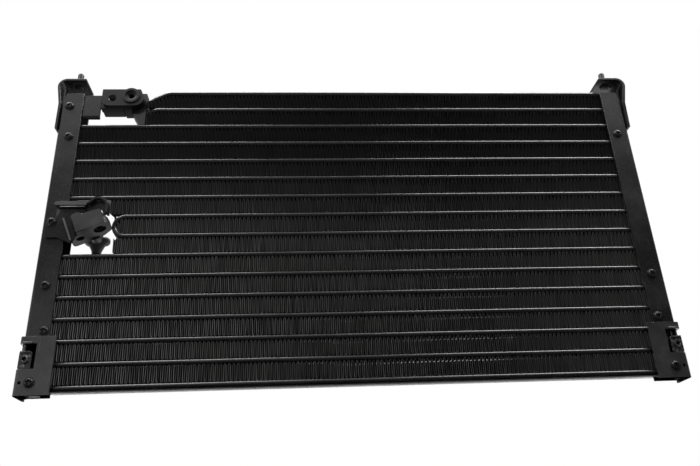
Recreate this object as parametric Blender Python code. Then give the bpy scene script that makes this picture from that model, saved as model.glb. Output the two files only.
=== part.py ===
"""Serpentine air conditioning condenser for a vehicle, in metres with +Z up.

The core is two long flat tubes, nested in each other and bent to and fro, with a corrugated fin
strip between each two runs. Folded side channels hold the bends. Both tubes start in the inlet
header at the top left and end in the outlet header at the bottom left, from which a round pipe
climbs behind the channel to the outlet block.

Pieces are modelled in the core's own coordinates: x from the middle to the right, y from the tubes'
front faces to the back, z up from the ground. One empty shifts them so that the origin is under the
middle of the whole.
"""
import math

import bmesh
import bpy
from mathutils import Matrix, Vector

# Fit between neighbouring pieces
CLEARANCE = 0.0003

# Core
TUBE_RUNS = 16
TUBE_PITCH = 0.021
TUBE_THICKNESS = 0.0048
TUBE_DEPTH = 0.020
TUBE_BEND_RADIUS = 0.009
LOWEST_RUN_HEIGHT = 0.0067
TUBE_END_DEPTH = 0.012
TUBE_END_TAPER = 0.012
TUBE_END_INSERT = 0.003
FIN_SHEET = 0.0008
FIN_LEG = 0.0092
FIN_RECESS = 0.0008
FIN_END_INSET = 0.0255
FIN_END_GAP = 0.0008
BAY_FIN_OVERHANG = 0.0065
BEND_FIN_REACH = 0.0055

# Side channels
CHANNEL_SPAN = 0.608
CHANNEL_SHEET = 0.0015
CHANNEL_FACE = 0.022
CHANNEL_BEND_RADIUS = 0.003
CHANNEL_ABOVE_RUNS = 0.002
CHANNEL_CHAMFER_WIDTH = 0.004
CHANNEL_CHAMFER_HEIGHT = 0.017

# Bay in the core for the outlet fitting, between runs 7 and 10
BAY_RUN_ABOVE = 7
BAY_WIDTH = 0.0675

# Top brackets and their pins
TOP_BRACKET_SHEET = 0.002
TOP_BRACKET_RISE = 0.0136
TOP_BRACKET_LEG = 0.053
TOP_BRACKET_BEND_RADIUS = 0.009
TOP_BRACKET_REACH = 0.0225
TOP_BRACKET_LIP = 0.0045
TOP_BRACKET_LIP_LOW = 0.019
RIGHT_FLANGE_FORWARD = 0.004
RIGHT_FLANGE_TAPER = 0.028
PIN_RADIUS = 0.0032
PIN_HEIGHT = 0.0165
PIN_COLLAR_RADIUS = 0.0046
PIN_COLLAR_HEIGHT = 0.0012
PIN_INSET = 0.0115

# Bottom brackets and their clip nuts
BOTTOM_BRACKET_SHEET = 0.002
BOTTOM_BRACKET_WIDTH = 0.0315
BOTTOM_BRACKET_HEIGHT = 0.0532
BOTTOM_BRACKET_BEND_RADIUS = 0.003
BOTTOM_WINDOW_WIDTH = 0.0155
BOTTOM_WINDOW_LOW = 0.0235
BOTTOM_WINDOW_HEIGHT = 0.0230
BOTTOM_WINDOW_WRAP = 0.008
BOTTOM_TAB_WIDTH = 0.010
BOTTOM_SCREW_HEIGHT = 0.0112
BOTTOM_SCREW_INSET = 0.0136
PILOT_RADIUS = 0.0016
PILOT_OFFSET = 0.0085
CLIP_SHEET = 0.0012
CLIP_WIDTH = 0.0110
CLIP_HEIGHT = 0.0155
CLIP_BOSS_RADIUS = 0.0038
CLIP_BOSS_HEIGHT = 0.0022
CLIP_HOLE_RADIUS = 0.0020
CLIP_LIP = 0.0016
CLIP_WINDOW_STRIP = 0.0042
HOOD_WIDTH = 0.0092
HOOD_INSET = 0.0028
HOOD_REACH = 0.0022

# Screws: height counted in runs from the top one, and inset from the channel's outer face
LEFT_SCREWS = ((1.87, 0.0088), (3.67, 0.0124), (8.37, 0.0094), (11.45, 0.0116), (13.53, 0.0165))
RIGHT_SCREWS = ((3.60, 0.0128), (11.37, 0.0118), (13.46, 0.0159))
SCREW_HEAD_RADIUS = 0.0048
SCREW_HEAD_HEIGHT = 0.0026
SCREW_WASHER_HEIGHT = 0.0008
SCREW_SHANK_RADIUS = 0.0021
SCREW_SHANK_LENGTH = 0.008
BRACKET_SCREW_SHANK_LENGTH = 0.0055
CROSS_LENGTH = 0.0044
CROSS_WIDTH = 0.0010
CROSS_DEPTH = 0.0014

# Inlet fitting
INLET_HEADER_INSET = 0.087
INLET_HEADER_WIDTH = 0.024
INLET_HEADER_NECK = 0.015
INLET_HEADER_FOOT = 0.006
HEADER_DEPTH = 0.016
INLET_DROP = 0.008
RAMP_START = 0.006
RAMP_END = 0.023
GALLERY_DEPTH = 0.008
GALLERY_WIDTH = 0.008
INLET_BLOCK_WIDTH = 0.0435
INLET_BLOCK_HEIGHT = 0.0203
INLET_PAD_FRONT = 0.006
INLET_BODY_BACK = 0.0075
INLET_FOOT_BACK = 0.0165
INLET_PAD_SETBACK = 0.0015
INLET_PAD_SHOULDER = 0.009
INLET_PAD_ROUND = 0.0095
INLET_BODY_OVERHANG = 0.0016
PORT_BOSS_RADIUS = 0.0090
PORT_BOSS_HEIGHT = 0.0014
PORT_RECESS_RADIUS = 0.0062
PORT_RECESS_DEPTH = 0.003
PORT_BORE_RADIUS = 0.004
PORT_INSET = 0.0133
PORT_DROP = 0.0079
BOLT_HOLE_RADIUS = 0.0042
BOLT_HOLE_INSET = 0.0325
BOLT_HOLE_DROP = 0.0109
INLET_BRACKET_SHEET = 0.0025
INLET_BRACKET_TOP_DROP = 0.0055
INLET_BRACKET_HEIGHT = 0.0265
INLET_BRACKET_LIP = 0.010

# Outlet fitting
OUTLET_BLOCK_FRONT = 0.010
OUTLET_BLOCK_BACK = 0.019
OUTLET_BLOCK_TILT = 22.36
OUTLET_BLOCK_WIDTH = 0.0286
OUTLET_BLOCK_HEIGHT = 0.0162
OUTLET_BODY_BACK = 0.008
OUTLET_PAD_WIDTH = 0.0316
OUTLET_PAD_HEIGHT = 0.0075
OUTLET_PAD_TAIL = 0.009
OUTLET_FOOT_HEIGHT = 0.0165
OUTLET_FOOT_WIDTH = 0.017
OUTLET_CORNER_GAP = 0.0328
OUTLET_CORNER_DROP = 0.0421
OUTLET_PAD_SLOPE = 0.0095
OUTLET_PORT_RADIUS = 0.0040
OUTLET_PORT_PLACE = (0.021, 0.0022)
OUTLET_BOLT_RADIUS = 0.0040
OUTLET_BOLT_PLACE = (0.0005, 0.0068)
OUTLET_BOLT_DEPTH = 0.014
OUTLET_NECK_PLACE = (0.0130, 0.0036)
OUTLET_NECK_RADIUS = 0.006
OUTLET_JOINT_GAP = 0.0225
OUTLET_JOINT_DROP = 0.0356
OUTLET_JOINT_RADIUS = 0.005
OUTLET_JOINT_SPAN = 0.0256
OUTLET_FUNNEL_WIDTH = 0.0190
OUTLET_FUNNEL_HEIGHT = 0.0132
OUTLET_BRACKET_SHEET = 0.002
OUTLET_BAR_FRONT = 0.008
OUTLET_BAR_INSET = 0.0108
OUTLET_BAR_GAP = 0.0260
OUTLET_BAR_DROP = 0.0078
OUTLET_BAR_HEIGHT = 0.0046
OUTLET_EDGE_INSET = 0.0165
OUTLET_EDGE_DROP = 0.0137
OUTLET_EDGE_HEIGHT = 0.0011
OUTLET_LIP_WIDTH = 0.0017
OUTLET_STRAP_SHEET = 0.0022
OUTLET_STRAP_FRONT = 0.0090
OUTLET_HEADER_WIDTH = 0.0137
OUTLET_HEADER_ABOVE = 0.004
PIPE_RADIUS = 0.004
PIPE_BORE_RADIUS = 0.0028
PIPE_FLARE_RADIUS = 0.0046
PIPE_FLARE_LENGTH = 0.005
PIPE_SWEEP_START = 0.0282
PIPE_SWEEP_END = 0.0582
PIPE_HOLE_RADIUS = 0.0050
PIPE_BEND_RADIUS = 0.0058
PIPE_SWEEP_RADIUS = 0.014
PIPE_BEHIND_CHANNEL = 0.0030
PIPE_INSET = 0.007
PIPE_CLIP_SHEET = 0.0012
PIPE_CLIP_WIDTH = 0.011
PIPE_CLIP_RUN = 12.6
PIPE_CLIP_SCREW_INSET = 0.0178
PIPE_CLIP_SCREW_SHANK = 0.0030

# Outlet bracket and strap, as (across, drop below run 7): the channel's side counts from the
# channel's outer face, the block's side from the bay's inner end
PLATE_CHANNEL_SIDE = ((0.0165, 0.0450), (0.0050, 0.0450), (0.0050, 0.0072))
PLATE_BLOCK_SIDE = ((0.0265, 0.0072), (0.0265, 0.0180), (0.0400, 0.0202), (0.0415, 0.0232),
                    (0.0338, 0.0440), (0.0365, 0.0505), (0.0395, 0.0510))
PLATE_LIP = ((0.0474, 0.0262), (0.0377, 0.0502))
STRAP_PATH = ((0.0257, 0.0101), (0.0235, 0.0101), (0.0185, 0.0046), (0.0065, 0.0046),
              (0.0060, 0.0212))

# Depths and edges that several pieces share
CHANNEL_EDGE = CHANNEL_SPAN / 2
CHANNEL_FRONT = -(CLEARANCE + CHANNEL_SHEET)
CHANNEL_BACK = TUBE_DEPTH + CLEARANCE + CHANNEL_SHEET
BRACKET_OUTER = CHANNEL_EDGE + CLEARANCE + TOP_BRACKET_SHEET
BOTTOM_OUTER = CHANNEL_EDGE + CLEARANCE + BOTTOM_BRACKET_SHEET
BOTTOM_PLATE_BACK = CHANNEL_FRONT - CLEARANCE
BOTTOM_PLATE_FRONT = BOTTOM_PLATE_BACK - BOTTOM_BRACKET_SHEET
CHANNEL_BOTTOM = BOTTOM_BRACKET_SHEET + CLEARANCE
HEADER_FRONT = (TUBE_DEPTH - HEADER_DEPTH) / 2
HEADER_BACK = HEADER_FRONT + HEADER_DEPTH
OUTER_REACH = CHANNEL_EDGE - CHANNEL_SHEET - CLEARANCE - TUBE_THICKNESS / 2
INNER_REACH = OUTER_REACH - TUBE_THICKNESS - 2 * CLEARANCE
FIN_REACH = CHANNEL_EDGE - FIN_END_INSET
BAY_EDGE = -(CHANNEL_EDGE - BAY_WIDTH)
INLET_HEADER_FACE = -(CHANNEL_EDGE - INLET_HEADER_INSET)
PIPE_DEPTH = CHANNEL_BACK + PIPE_BEHIND_CHANNEL + PIPE_RADIUS
FRONT_MOST = -OUTLET_BLOCK_FRONT
BACK_MOST = PIPE_DEPTH + PIPE_RADIUS + CLEARANCE + PIPE_CLIP_SHEET
MIDDLE_DEPTH = (FRONT_MOST + BACK_MOST) / 2


def run_height(run):
    """Height of a tube run's centre line; run 1 is the top one, and fractions lie between runs."""
    return LOWEST_RUN_HEIGHT + (TUBE_RUNS - run) * TUBE_PITCH


TOP_RUN = run_height(1)
BAY_TOP = run_height(BAY_RUN_ABOVE)


def clear_scene():
    """Remove the objects that a new Blender file holds."""
    for item in list(bpy.data.objects):
        bpy.data.objects.remove(item, do_unlink=True)


def finish_material(name, colour, roughness, metallic):
    """A Principled material with one colour, roughness and metallic value."""
    material = bpy.data.materials.new(name)
    material.use_nodes = True
    shader = material.node_tree.nodes["Principled BSDF"]
    shader.inputs["Base Color"].default_value = (*colour, 1.0)
    shader.inputs["Roughness"].default_value = roughness
    shader.inputs["Metallic"].default_value = metallic
    material.diffuse_color = (*colour, 1.0)
    return material


def add_object(name, bm, material, smooth_angle=35.0):
    """Turn a bmesh into a named object under the condenser's empty, smooth below an angle."""
    bmesh.ops.remove_doubles(bm, verts=bm.verts, dist=1e-6)
    bmesh.ops.recalc_face_normals(bm, faces=bm.faces)
    mesh = bpy.data.meshes.new(name)
    bm.to_mesh(mesh)
    bm.free()
    mesh.materials.append(material)
    mesh.shade_smooth()
    mesh.set_sharp_from_angle(angle=math.radians(smooth_angle))
    item = bpy.data.objects.new(name, mesh)
    bpy.context.collection.objects.link(item)
    item.parent = bpy.data.objects["condenser"]
    return item


def corner_arc(before, corner, after, radius, steps):
    """Points that round the corner between two straight sides with a circular arc."""
    if radius <= 0:
        return [corner]
    to_before = (before - corner).normalized()
    to_after = (after - corner).normalized()
    half_angle = to_before.angle(to_after) / 2
    reach = radius / math.tan(half_angle)
    centre = corner + (to_before + to_after).normalized() * (radius / math.sin(half_angle))
    first = corner + to_before * reach - centre
    last = corner + to_after * reach - centre
    sweep = math.pi - 2 * half_angle
    points = []
    for step in range(steps + 1):
        share = step / steps
        arm = first * math.sin((1 - share) * sweep) + last * math.sin(share * sweep)
        points.append(centre + arm / math.sin(sweep))
    return points


def rounded_path(corners, radii, steps):
    """An open path through corners, each inner corner rounded by its own radius."""
    points = [corners[0]]
    for index in range(1, len(corners) - 1):
        arc = corner_arc(corners[index - 1], corners[index], corners[index + 1], radii[index - 1], steps)
        points.extend(arc)
    points.append(corners[-1])
    return [point for index, point in enumerate(points)
            if index == 0 or (point - points[index - 1]).length > 1e-6]


def rounded_outline(corners, radii, steps=3):
    """A closed outline of (u, v) pairs with each corner rounded by its own radius."""
    points = []
    count = len(corners)
    for index, (corner, radius) in enumerate(zip(corners, radii)):
        before = Vector((*corners[index - 1], 0))
        after = Vector((*corners[(index + 1) % count], 0))
        points.extend(corner_arc(before, Vector((*corner, 0)), after, radius, steps))
    return [(point.x, point.y) for point in points]


def rectangle(low_u, low_v, high_u, high_v):
    """The four corners of an upright rectangle."""
    return [(low_u, low_v), (high_u, low_v), (high_u, high_v), (low_u, high_v)]


def place(axis, u, v, along):
    """A point of an outline laid across an axis, at a distance along it."""
    if axis == "X":
        return Vector((along, u, v))
    if axis == "Y":
        return Vector((u, along, v))
    return Vector((u, v, along))


def add_prism(bm, outline, axis, low, high):
    """Add a closed prism: an outline across an axis, extruded from low to high along it."""
    near = [bm.verts.new(place(axis, u, v, low)) for u, v in outline]
    far = [bm.verts.new(place(axis, u, v, high)) for u, v in outline]
    bm.faces.new(near)
    bm.faces.new(reversed(far))
    count = len(outline)
    for index in range(count):
        following = (index + 1) % count
        bm.faces.new((near[following], near[index], far[index], far[following]))


def prism(outline, axis, low, high):
    """A bmesh that holds one prism."""
    bm = bmesh.new()
    add_prism(bm, outline, axis, low, high)
    return bm


def turned(profile, origin, axis_direction, sides):
    """A closed solid of revolution; the profile gives (radius, distance along the axis) pairs."""
    axis = Vector(axis_direction).normalized()
    turn = Vector((0, 0, 1)).rotation_difference(axis)
    bm = bmesh.new()
    rings = []
    for radius, along in profile:
        if radius == 0:
            rings.append([bm.verts.new(Vector(origin) + turn @ Vector((0, 0, along)))])
            continue
        ring = []
        for side in range(sides):
            angle = 2 * math.pi * side / sides
            offset = Vector((radius * math.cos(angle), radius * math.sin(angle), along))
            ring.append(bm.verts.new(Vector(origin) + turn @ offset))
        rings.append(ring)
    for lower, upper in zip(rings, rings[1:]):
        for side in range(sides):
            following = (side + 1) % sides
            corners = [lower[side % len(lower)], lower[following % len(lower)],
                       upper[following % len(upper)], upper[side % len(upper)]]
            bm.faces.new(list(dict.fromkeys(corners)))
    return bm


def cylinder(centre, axis_direction, radius, low, high, sides=16):
    """A plain closed cylinder from low to high along an axis through a centre."""
    return turned([(0, low), (radius, low), (radius, high), (0, high)], centre, axis_direction, sides)


def shape_with(item, bm, operation, number):
    """Cut a tool solid from an object, or join it on, with an exact Boolean."""
    bmesh.ops.recalc_face_normals(bm, faces=bm.faces)
    mesh = bpy.data.meshes.new(f"{item.name}_tool_{number}")
    bm.to_mesh(mesh)
    bm.free()
    tool = bpy.data.objects.new(mesh.name, mesh)
    bpy.context.collection.objects.link(tool)
    tool.parent = bpy.data.objects["condenser"]
    tool.hide_render = True
    tool.display_type = "WIRE"
    step = item.modifiers.new(tool.name, "BOOLEAN")
    step.operation = operation
    step.solver = "EXACT"
    step.object = tool


def cut(item, tools):
    """Cut each tool solid from an object."""
    for bm in tools:
        shape_with(item, bm, "DIFFERENCE", len(item.modifiers) + 1)


def join(item, tools):
    """Join each tool solid to an object."""
    for bm in tools:
        shape_with(item, bm, "UNION", len(item.modifiers) + 1)


def swept(points, section_at, across=(0, 1, 0)):
    """Sweep a section along a flat path; section_at gives (across, up) offsets for an index."""
    bm = bmesh.new()
    rings = []
    side = Vector(across)
    for index, point in enumerate(points):
        before = points[max(index - 1, 0)]
        after = points[min(index + 1, len(points) - 1)]
        incoming = (point - before).normalized() if index else (after - point).normalized()
        outgoing = (after - point).normalized() if index < len(points) - 1 else incoming
        tangent = (incoming + outgoing).normalized()
        stretch = 1 / max(tangent.dot(outgoing), 0.5)
        side = (side - tangent * side.dot(tangent)).normalized()
        up = tangent.cross(side)
        bend = outgoing - incoming
        widen_side = stretch if bend.length > 1e-9 and abs(bend.normalized().dot(side)) > 0.5 else 1
        widen_up = stretch if bend.length > 1e-9 and abs(bend.normalized().dot(up)) > 0.5 else 1
        ring = [bm.verts.new(point + side * (a * widen_side) + up * (b * widen_up))
                for a, b in section_at(index)]
        rings.append(ring)
    count = len(rings[0])
    for lower, upper in zip(rings, rings[1:]):
        for corner in range(count):
            following = (corner + 1) % count
            bm.faces.new((lower[corner], lower[following], upper[following], upper[corner]))
    bm.faces.new(list(reversed(rings[0])))
    bm.faces.new(rings[-1])
    return bm


def side_channel(side, material):
    """A folded C section, open towards the core, with its upper outer corner cut to a slope."""
    name = "left_side_channel" if side < 0 else "right_side_channel"
    outer = side * CHANNEL_EDGE
    inner = side * (CHANNEL_EDGE - CHANNEL_FACE)
    web = side * (CHANNEL_EDGE - CHANNEL_SHEET)
    inside_radius = CHANNEL_BEND_RADIUS - CHANNEL_SHEET
    corners = [(inner, CHANNEL_FRONT), (outer, CHANNEL_FRONT), (outer, CHANNEL_BACK),
               (inner, CHANNEL_BACK), (inner, CHANNEL_BACK - CHANNEL_SHEET),
               (web, CHANNEL_BACK - CHANNEL_SHEET), (web, CHANNEL_FRONT + CHANNEL_SHEET),
               (inner, CHANNEL_FRONT + CHANNEL_SHEET)]
    radii = [0, CHANNEL_BEND_RADIUS, CHANNEL_BEND_RADIUS, 0, 0, inside_radius, inside_radius, 0]
    outline = rounded_outline(corners, radii)
    top = TOP_RUN + CHANNEL_ABOVE_RUNS
    item = add_object(name, prism(outline, "Z", CHANNEL_BOTTOM, top), material)
    beyond = CHANNEL_SHEET
    slope = CHANNEL_CHAMFER_WIDTH / CHANNEL_CHAMFER_HEIGHT
    wedge = [(outer + side * slope * beyond * 0, top - CHANNEL_CHAMFER_HEIGHT),
             (outer + side * CHANNEL_FACE, top - CHANNEL_CHAMFER_HEIGHT),
             (outer + side * CHANNEL_FACE, top + beyond),
             (outer - side * (CHANNEL_CHAMFER_WIDTH + slope * beyond), top + beyond)]
    cut(item, [prism(wedge, "Y", CHANNEL_FRONT - beyond, CHANNEL_BACK + beyond)])
    screws = LEFT_SCREWS if side < 0 else RIGHT_SCREWS
    spots = [(side * (CHANNEL_EDGE - inset), run_height(run)) for run, inset in screws]
    spots.append((side * (BOTTOM_OUTER - BOTTOM_SCREW_INSET), BOTTOM_SCREW_HEIGHT))
    hole = SCREW_SHANK_RADIUS + CLEARANCE
    cut(item, [cylinder((x, 0, z), (0, 1, 0), hole, CHANNEL_FRONT - beyond, TUBE_DEPTH / 4, 12)
               for x, z in spots])
    nut_inner, nut_low, nut_high = clip_nut_edges(side)
    window_inner = side * (BOTTOM_OUTER - BOTTOM_WINDOW_WIDTH)
    window_top = BOTTOM_WINDOW_LOW + BOTTOM_WINDOW_HEIGHT
    strip = sorted((window_inner, window_inner + side * CLIP_WINDOW_STRIP))
    above = sorted((window_inner, web - side * inside_radius))
    deep = (CHANNEL_FRONT - beyond, CHANNEL_FRONT + CHANNEL_SHEET + CLEARANCE / 2)
    cut(item, [prism(rectangle(strip[0], deep[0], strip[1], deep[1]), "Z", nut_low, window_top),
               prism(rectangle(above[0], deep[0], above[1], deep[1]), "Z", nut_high - CLIP_SHEET,
                     window_top - CLEARANCE)])
    if side < 0:
        x, z = outlet_port_spot()
        clip_x, clip_z = pipe_clip_spot()
        through = (TUBE_DEPTH - CLEARANCE, CHANNEL_BACK + beyond)
        cut(item, [cylinder((x, 0, z), (0, 1, 0), PIPE_HOLE_RADIUS, *through),
                   cylinder((clip_x, 0, clip_z), (0, 1, 0), hole, *through, 12)])
    return item


def outlet_port_spot():
    """Where the outlet pipe enters the outlet header, as (x, z)."""
    return -(CHANNEL_EDGE - PIPE_INSET), run_height(TUBE_RUNS - 0.5)


def flange_forward(side):
    """How far the right top bracket's flange and pin stand forward of the left one's."""
    return RIGHT_FLANGE_FORWARD if side > 0 else 0


def top_bracket(side, material):
    """A strap bent from the channel's outer face over the top, with a lip along its front edge."""
    name = "top_left_bracket" if side < 0 else "top_right_bracket"
    sheet = TOP_BRACKET_SHEET
    outer = side * BRACKET_OUTER
    inner = side * (BRACKET_OUTER - sheet)
    end = side * (CHANNEL_EDGE - TOP_BRACKET_REACH)
    underside = TOP_RUN + TOP_BRACKET_RISE
    foot = underside + sheet - TOP_BRACKET_BEND_RADIUS - TOP_BRACKET_LEG
    corners = [(outer, foot), (outer, underside + sheet), (end, underside + sheet),
               (end, underside), (inner, underside), (inner, foot)]
    radii = [0, TOP_BRACKET_BEND_RADIUS, 0, 0, TOP_BRACKET_BEND_RADIUS - sheet, 0]
    outline = rounded_outline(corners, radii, 5)
    forward = flange_forward(side)
    front = CHANNEL_FRONT - TOP_BRACKET_SHEET / 2 - forward
    item = add_object(name, prism(outline, "Y", front, CHANNEL_BACK), material)
    if forward:
        beyond = 2 * forward
        low = foot - sheet
        wedge = [(front - beyond, low), (front + forward, low), (front + forward, TOP_RUN - RIGHT_FLANGE_TAPER),
                 (front, TOP_RUN), (front - beyond, TOP_RUN)]
        across = sorted((inner - side * sheet, outer + side * sheet))
        cut(item, [prism(wedge, "X", *across)])
    lip = TOP_BRACKET_LIP
    start = TOP_RUN - TOP_BRACKET_LIP_LOW
    lip_corners = [(outer - side * sheet / 2, start), (outer + side * lip, TOP_RUN + lip),
                   (outer + side * lip * 0.8, underside + sheet * 1.1), (end, underside + sheet * 1.6),
                   (end, underside + sheet / 2), (outer - side * sheet / 2, underside + sheet / 2)]
    lip_radii = [0, 0.003, TOP_BRACKET_BEND_RADIUS * 0.9, 0, 0, TOP_BRACKET_BEND_RADIUS - sheet]
    lip_outline = rounded_outline(lip_corners, lip_radii, 4)
    join(item, [prism(lip_outline, "Y", front - sheet / 4, front + sheet * 0.75)])
    pin_x = side * (CHANNEL_EDGE - PIN_INSET)
    cut(item, [cylinder((pin_x, TUBE_DEPTH / 2 - forward, underside), (0, 0, 1), PIN_RADIUS + CLEARANCE,
                        -sheet, 2 * sheet)])
    return item


def locating_pin(side, material):
    """A round-topped pin, riveted over under the bracket's flange."""
    name = "top_left_pin" if side < 0 else "top_right_pin"
    underside = TOP_RUN + TOP_BRACKET_RISE
    flange_top = underside + TOP_BRACKET_SHEET
    rivet = underside - CLEARANCE
    top = flange_top + PIN_HEIGHT
    dome = PIN_RADIUS * 0.8
    profile = [(0, rivet - PIN_COLLAR_HEIGHT * 1.2), (PIN_COLLAR_RADIUS * 0.7, rivet - PIN_COLLAR_HEIGHT),
               (PIN_COLLAR_RADIUS, rivet), (PIN_RADIUS, rivet), (PIN_RADIUS, top - dome),
               (PIN_RADIUS * 0.8, top - dome * 0.35), (PIN_RADIUS * 0.4, top - dome * 0.05), (0, top)]
    centre = (side * (CHANNEL_EDGE - PIN_INSET), TUBE_DEPTH / 2 - flange_forward(side), 0)
    return add_object(name, turned(profile, centre, (0, 0, 1), 16), material)


def bottom_bracket(side, material):
    """A plate folded round the channel's outer side, with a window at the fold and a foot tab."""
    name = "bottom_left_bracket" if side < 0 else "bottom_right_bracket"
    outer = side * BOTTOM_OUTER
    inner = side * (BOTTOM_OUTER - BOTTOM_BRACKET_WIDTH)
    wall = side * (BOTTOM_OUTER - BOTTOM_BRACKET_SHEET)
    inside_radius = max(BOTTOM_BRACKET_BEND_RADIUS - BOTTOM_BRACKET_SHEET, CLEARANCE)
    corners = [(inner, BOTTOM_PLATE_FRONT), (outer, BOTTOM_PLATE_FRONT), (outer, CHANNEL_BACK),
               (wall, CHANNEL_BACK), (wall, BOTTOM_PLATE_BACK), (inner, BOTTOM_PLATE_BACK)]
    radii = [0, BOTTOM_BRACKET_BEND_RADIUS, 0, 0, inside_radius, 0]
    outline = rounded_outline(corners, radii)
    item = add_object(name, prism(outline, "Z", 0, BOTTOM_BRACKET_HEIGHT), material)
    tab_start = side * (BOTTOM_OUTER - BOTTOM_BRACKET_SHEET / 2)
    tab_end = side * (BOTTOM_OUTER - BOTTOM_TAB_WIDTH)
    tab = [(tab_start, BOTTOM_PLATE_BACK), (tab_end, BOTTOM_PLATE_BACK),
           (tab_end, TUBE_DEPTH / 2), (tab_start, TUBE_DEPTH * 0.75)]
    hood_back = BOTTOM_PLATE_FRONT + BOTTOM_BRACKET_SHEET / 2
    hood_front = BOTTOM_PLATE_FRONT - HOOD_REACH
    hood_low = BOTTOM_WINDOW_LOW + BOTTOM_WINDOW_HEIGHT
    hood_outline = [(hood_front, hood_low - 0.0006), (hood_back, hood_low), (hood_back, hood_low + 0.0024),
                    (hood_front, hood_low + 0.0008)]
    hood = sorted((outer - side * HOOD_INSET, outer - side * (HOOD_INSET + HOOD_WIDTH)))
    join(item, [prism(tab, "Z", 0, BOTTOM_BRACKET_SHEET), prism(hood_outline, "X", *hood)])
    beyond = BOTTOM_BRACKET_SHEET
    window_u = sorted((side * (BOTTOM_OUTER - BOTTOM_WINDOW_WIDTH), outer + side * beyond))
    window = rectangle(window_u[0], BOTTOM_PLATE_FRONT - beyond, window_u[1],
                       BOTTOM_PLATE_FRONT + BOTTOM_WINDOW_WRAP)
    window_top = BOTTOM_WINDOW_LOW + BOTTOM_WINDOW_HEIGHT
    screw_x = side * (BOTTOM_OUTER - BOTTOM_SCREW_INSET)
    pilot_x = side * (BOTTOM_OUTER - BOTTOM_SCREW_INSET + PILOT_OFFSET)
    through = (BOTTOM_PLATE_FRONT - beyond, BOTTOM_PLATE_BACK + CLEARANCE / 2)
    cut(item, [prism(window, "Z", BOTTOM_WINDOW_LOW, window_top),
               cylinder((screw_x, 0, BOTTOM_SCREW_HEIGHT), (0, 1, 0),
                        SCREW_SHANK_RADIUS + CLEARANCE, *through, 12),
               cylinder((pilot_x, 0, BOTTOM_SCREW_HEIGHT), (0, 1, 0), PILOT_RADIUS, *through, 10)])
    return item


def clip_nut_edges(side):
    """The clip nut's inner side as x, and its lower and upper ends as z."""
    inner = side * (BOTTOM_OUTER - BOTTOM_WINDOW_WIDTH / 2 + CLIP_SHEET - CLIP_WIDTH / 2)
    low = BOTTOM_WINDOW_LOW + CLEARANCE
    return inner, low, low + CLIP_HEIGHT


def clip_nut(side, material):
    """A sheet nut with a raised collar and a lip on top, inside the bracket's window."""
    name = "bottom_left_clip_nut" if side < 0 else "bottom_right_clip_nut"
    back = CHANNEL_FRONT - CLEARANCE
    front = back - CLIP_SHEET
    middle_x = side * (BOTTOM_OUTER - BOTTOM_WINDOW_WIDTH / 2 + CLIP_SHEET)
    low = BOTTOM_WINDOW_LOW + CLEARANCE
    half = CLIP_WIDTH / 2
    corners = rectangle(middle_x - half, low, middle_x + half, low + CLIP_HEIGHT)
    outline = rounded_outline(corners, [0.001] * 4, 2)
    item = add_object(name, prism(outline, "Y", front, back), material)
    centre = (middle_x, 0, low + CLIP_HEIGHT * 0.55)
    lip = prism(rectangle(middle_x - half + 0.001, front - CLIP_LIP, middle_x + half - 0.001,
                          back - CLEARANCE), "Z", low + CLIP_HEIGHT - CLIP_SHEET, low + CLIP_HEIGHT + CLEARANCE)
    join(item, [cylinder(centre, (0, 1, 0), CLIP_BOSS_RADIUS, front - CLIP_BOSS_HEIGHT,
                         front + CLIP_SHEET / 2), lip])
    cut(item, [cylinder(centre, (0, 1, 0), CLIP_HOLE_RADIUS, front - 2 * CLIP_BOSS_HEIGHT,
                        back + CLIP_SHEET, 12)])
    return item


def cross_screw(name, spot, seat, shank, material, facing=-1):
    """A pan-head screw with a washer face and a cross recess, on a seat that faces -Y or +Y."""
    x, z = spot
    head = SCREW_HEAD_RADIUS
    washer = SCREW_WASHER_HEIGHT
    height = SCREW_HEAD_HEIGHT
    bearing = CLEARANCE
    profile = [(0, -shank), (SCREW_SHANK_RADIUS * 0.6, -shank),
               (SCREW_SHANK_RADIUS, -shank + SCREW_SHANK_RADIUS * 0.5), (SCREW_SHANK_RADIUS, bearing),
               (head, bearing), (head, bearing + washer), (head * 0.8, bearing + washer),
               (head * 0.7, height * 0.85), (head * 0.4, height), (0, height)]
    item = add_object(name, turned(profile, (x, seat, z), (0, facing, 0), 12), material)
    half = CROSS_WIDTH / 2
    reach = CROSS_LENGTH / 2
    arms = [(half, half), (half, reach), (-half, reach), (-half, half), (-reach, half),
            (-reach, -half), (-half, -half), (-half, -reach), (half, -reach), (half, -half),
            (reach, -half), (reach, half)]
    outline = [(x + u, z + v) for u, v in arms]
    top = seat + facing * height
    cut(item, [prism(outline, "Y", top - CROSS_DEPTH, top + CROSS_DEPTH)])
    return item


def circuit_rows(first):
    """Rows that one circuit runs through; it skips two rows at every other bend."""
    rows = [first]
    stride = 3 if first == 1 else 1
    while rows[-1] + stride <= TUBE_RUNS:
        rows.append(rows[-1] + stride)
        stride = 4 - stride
    return rows


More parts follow.
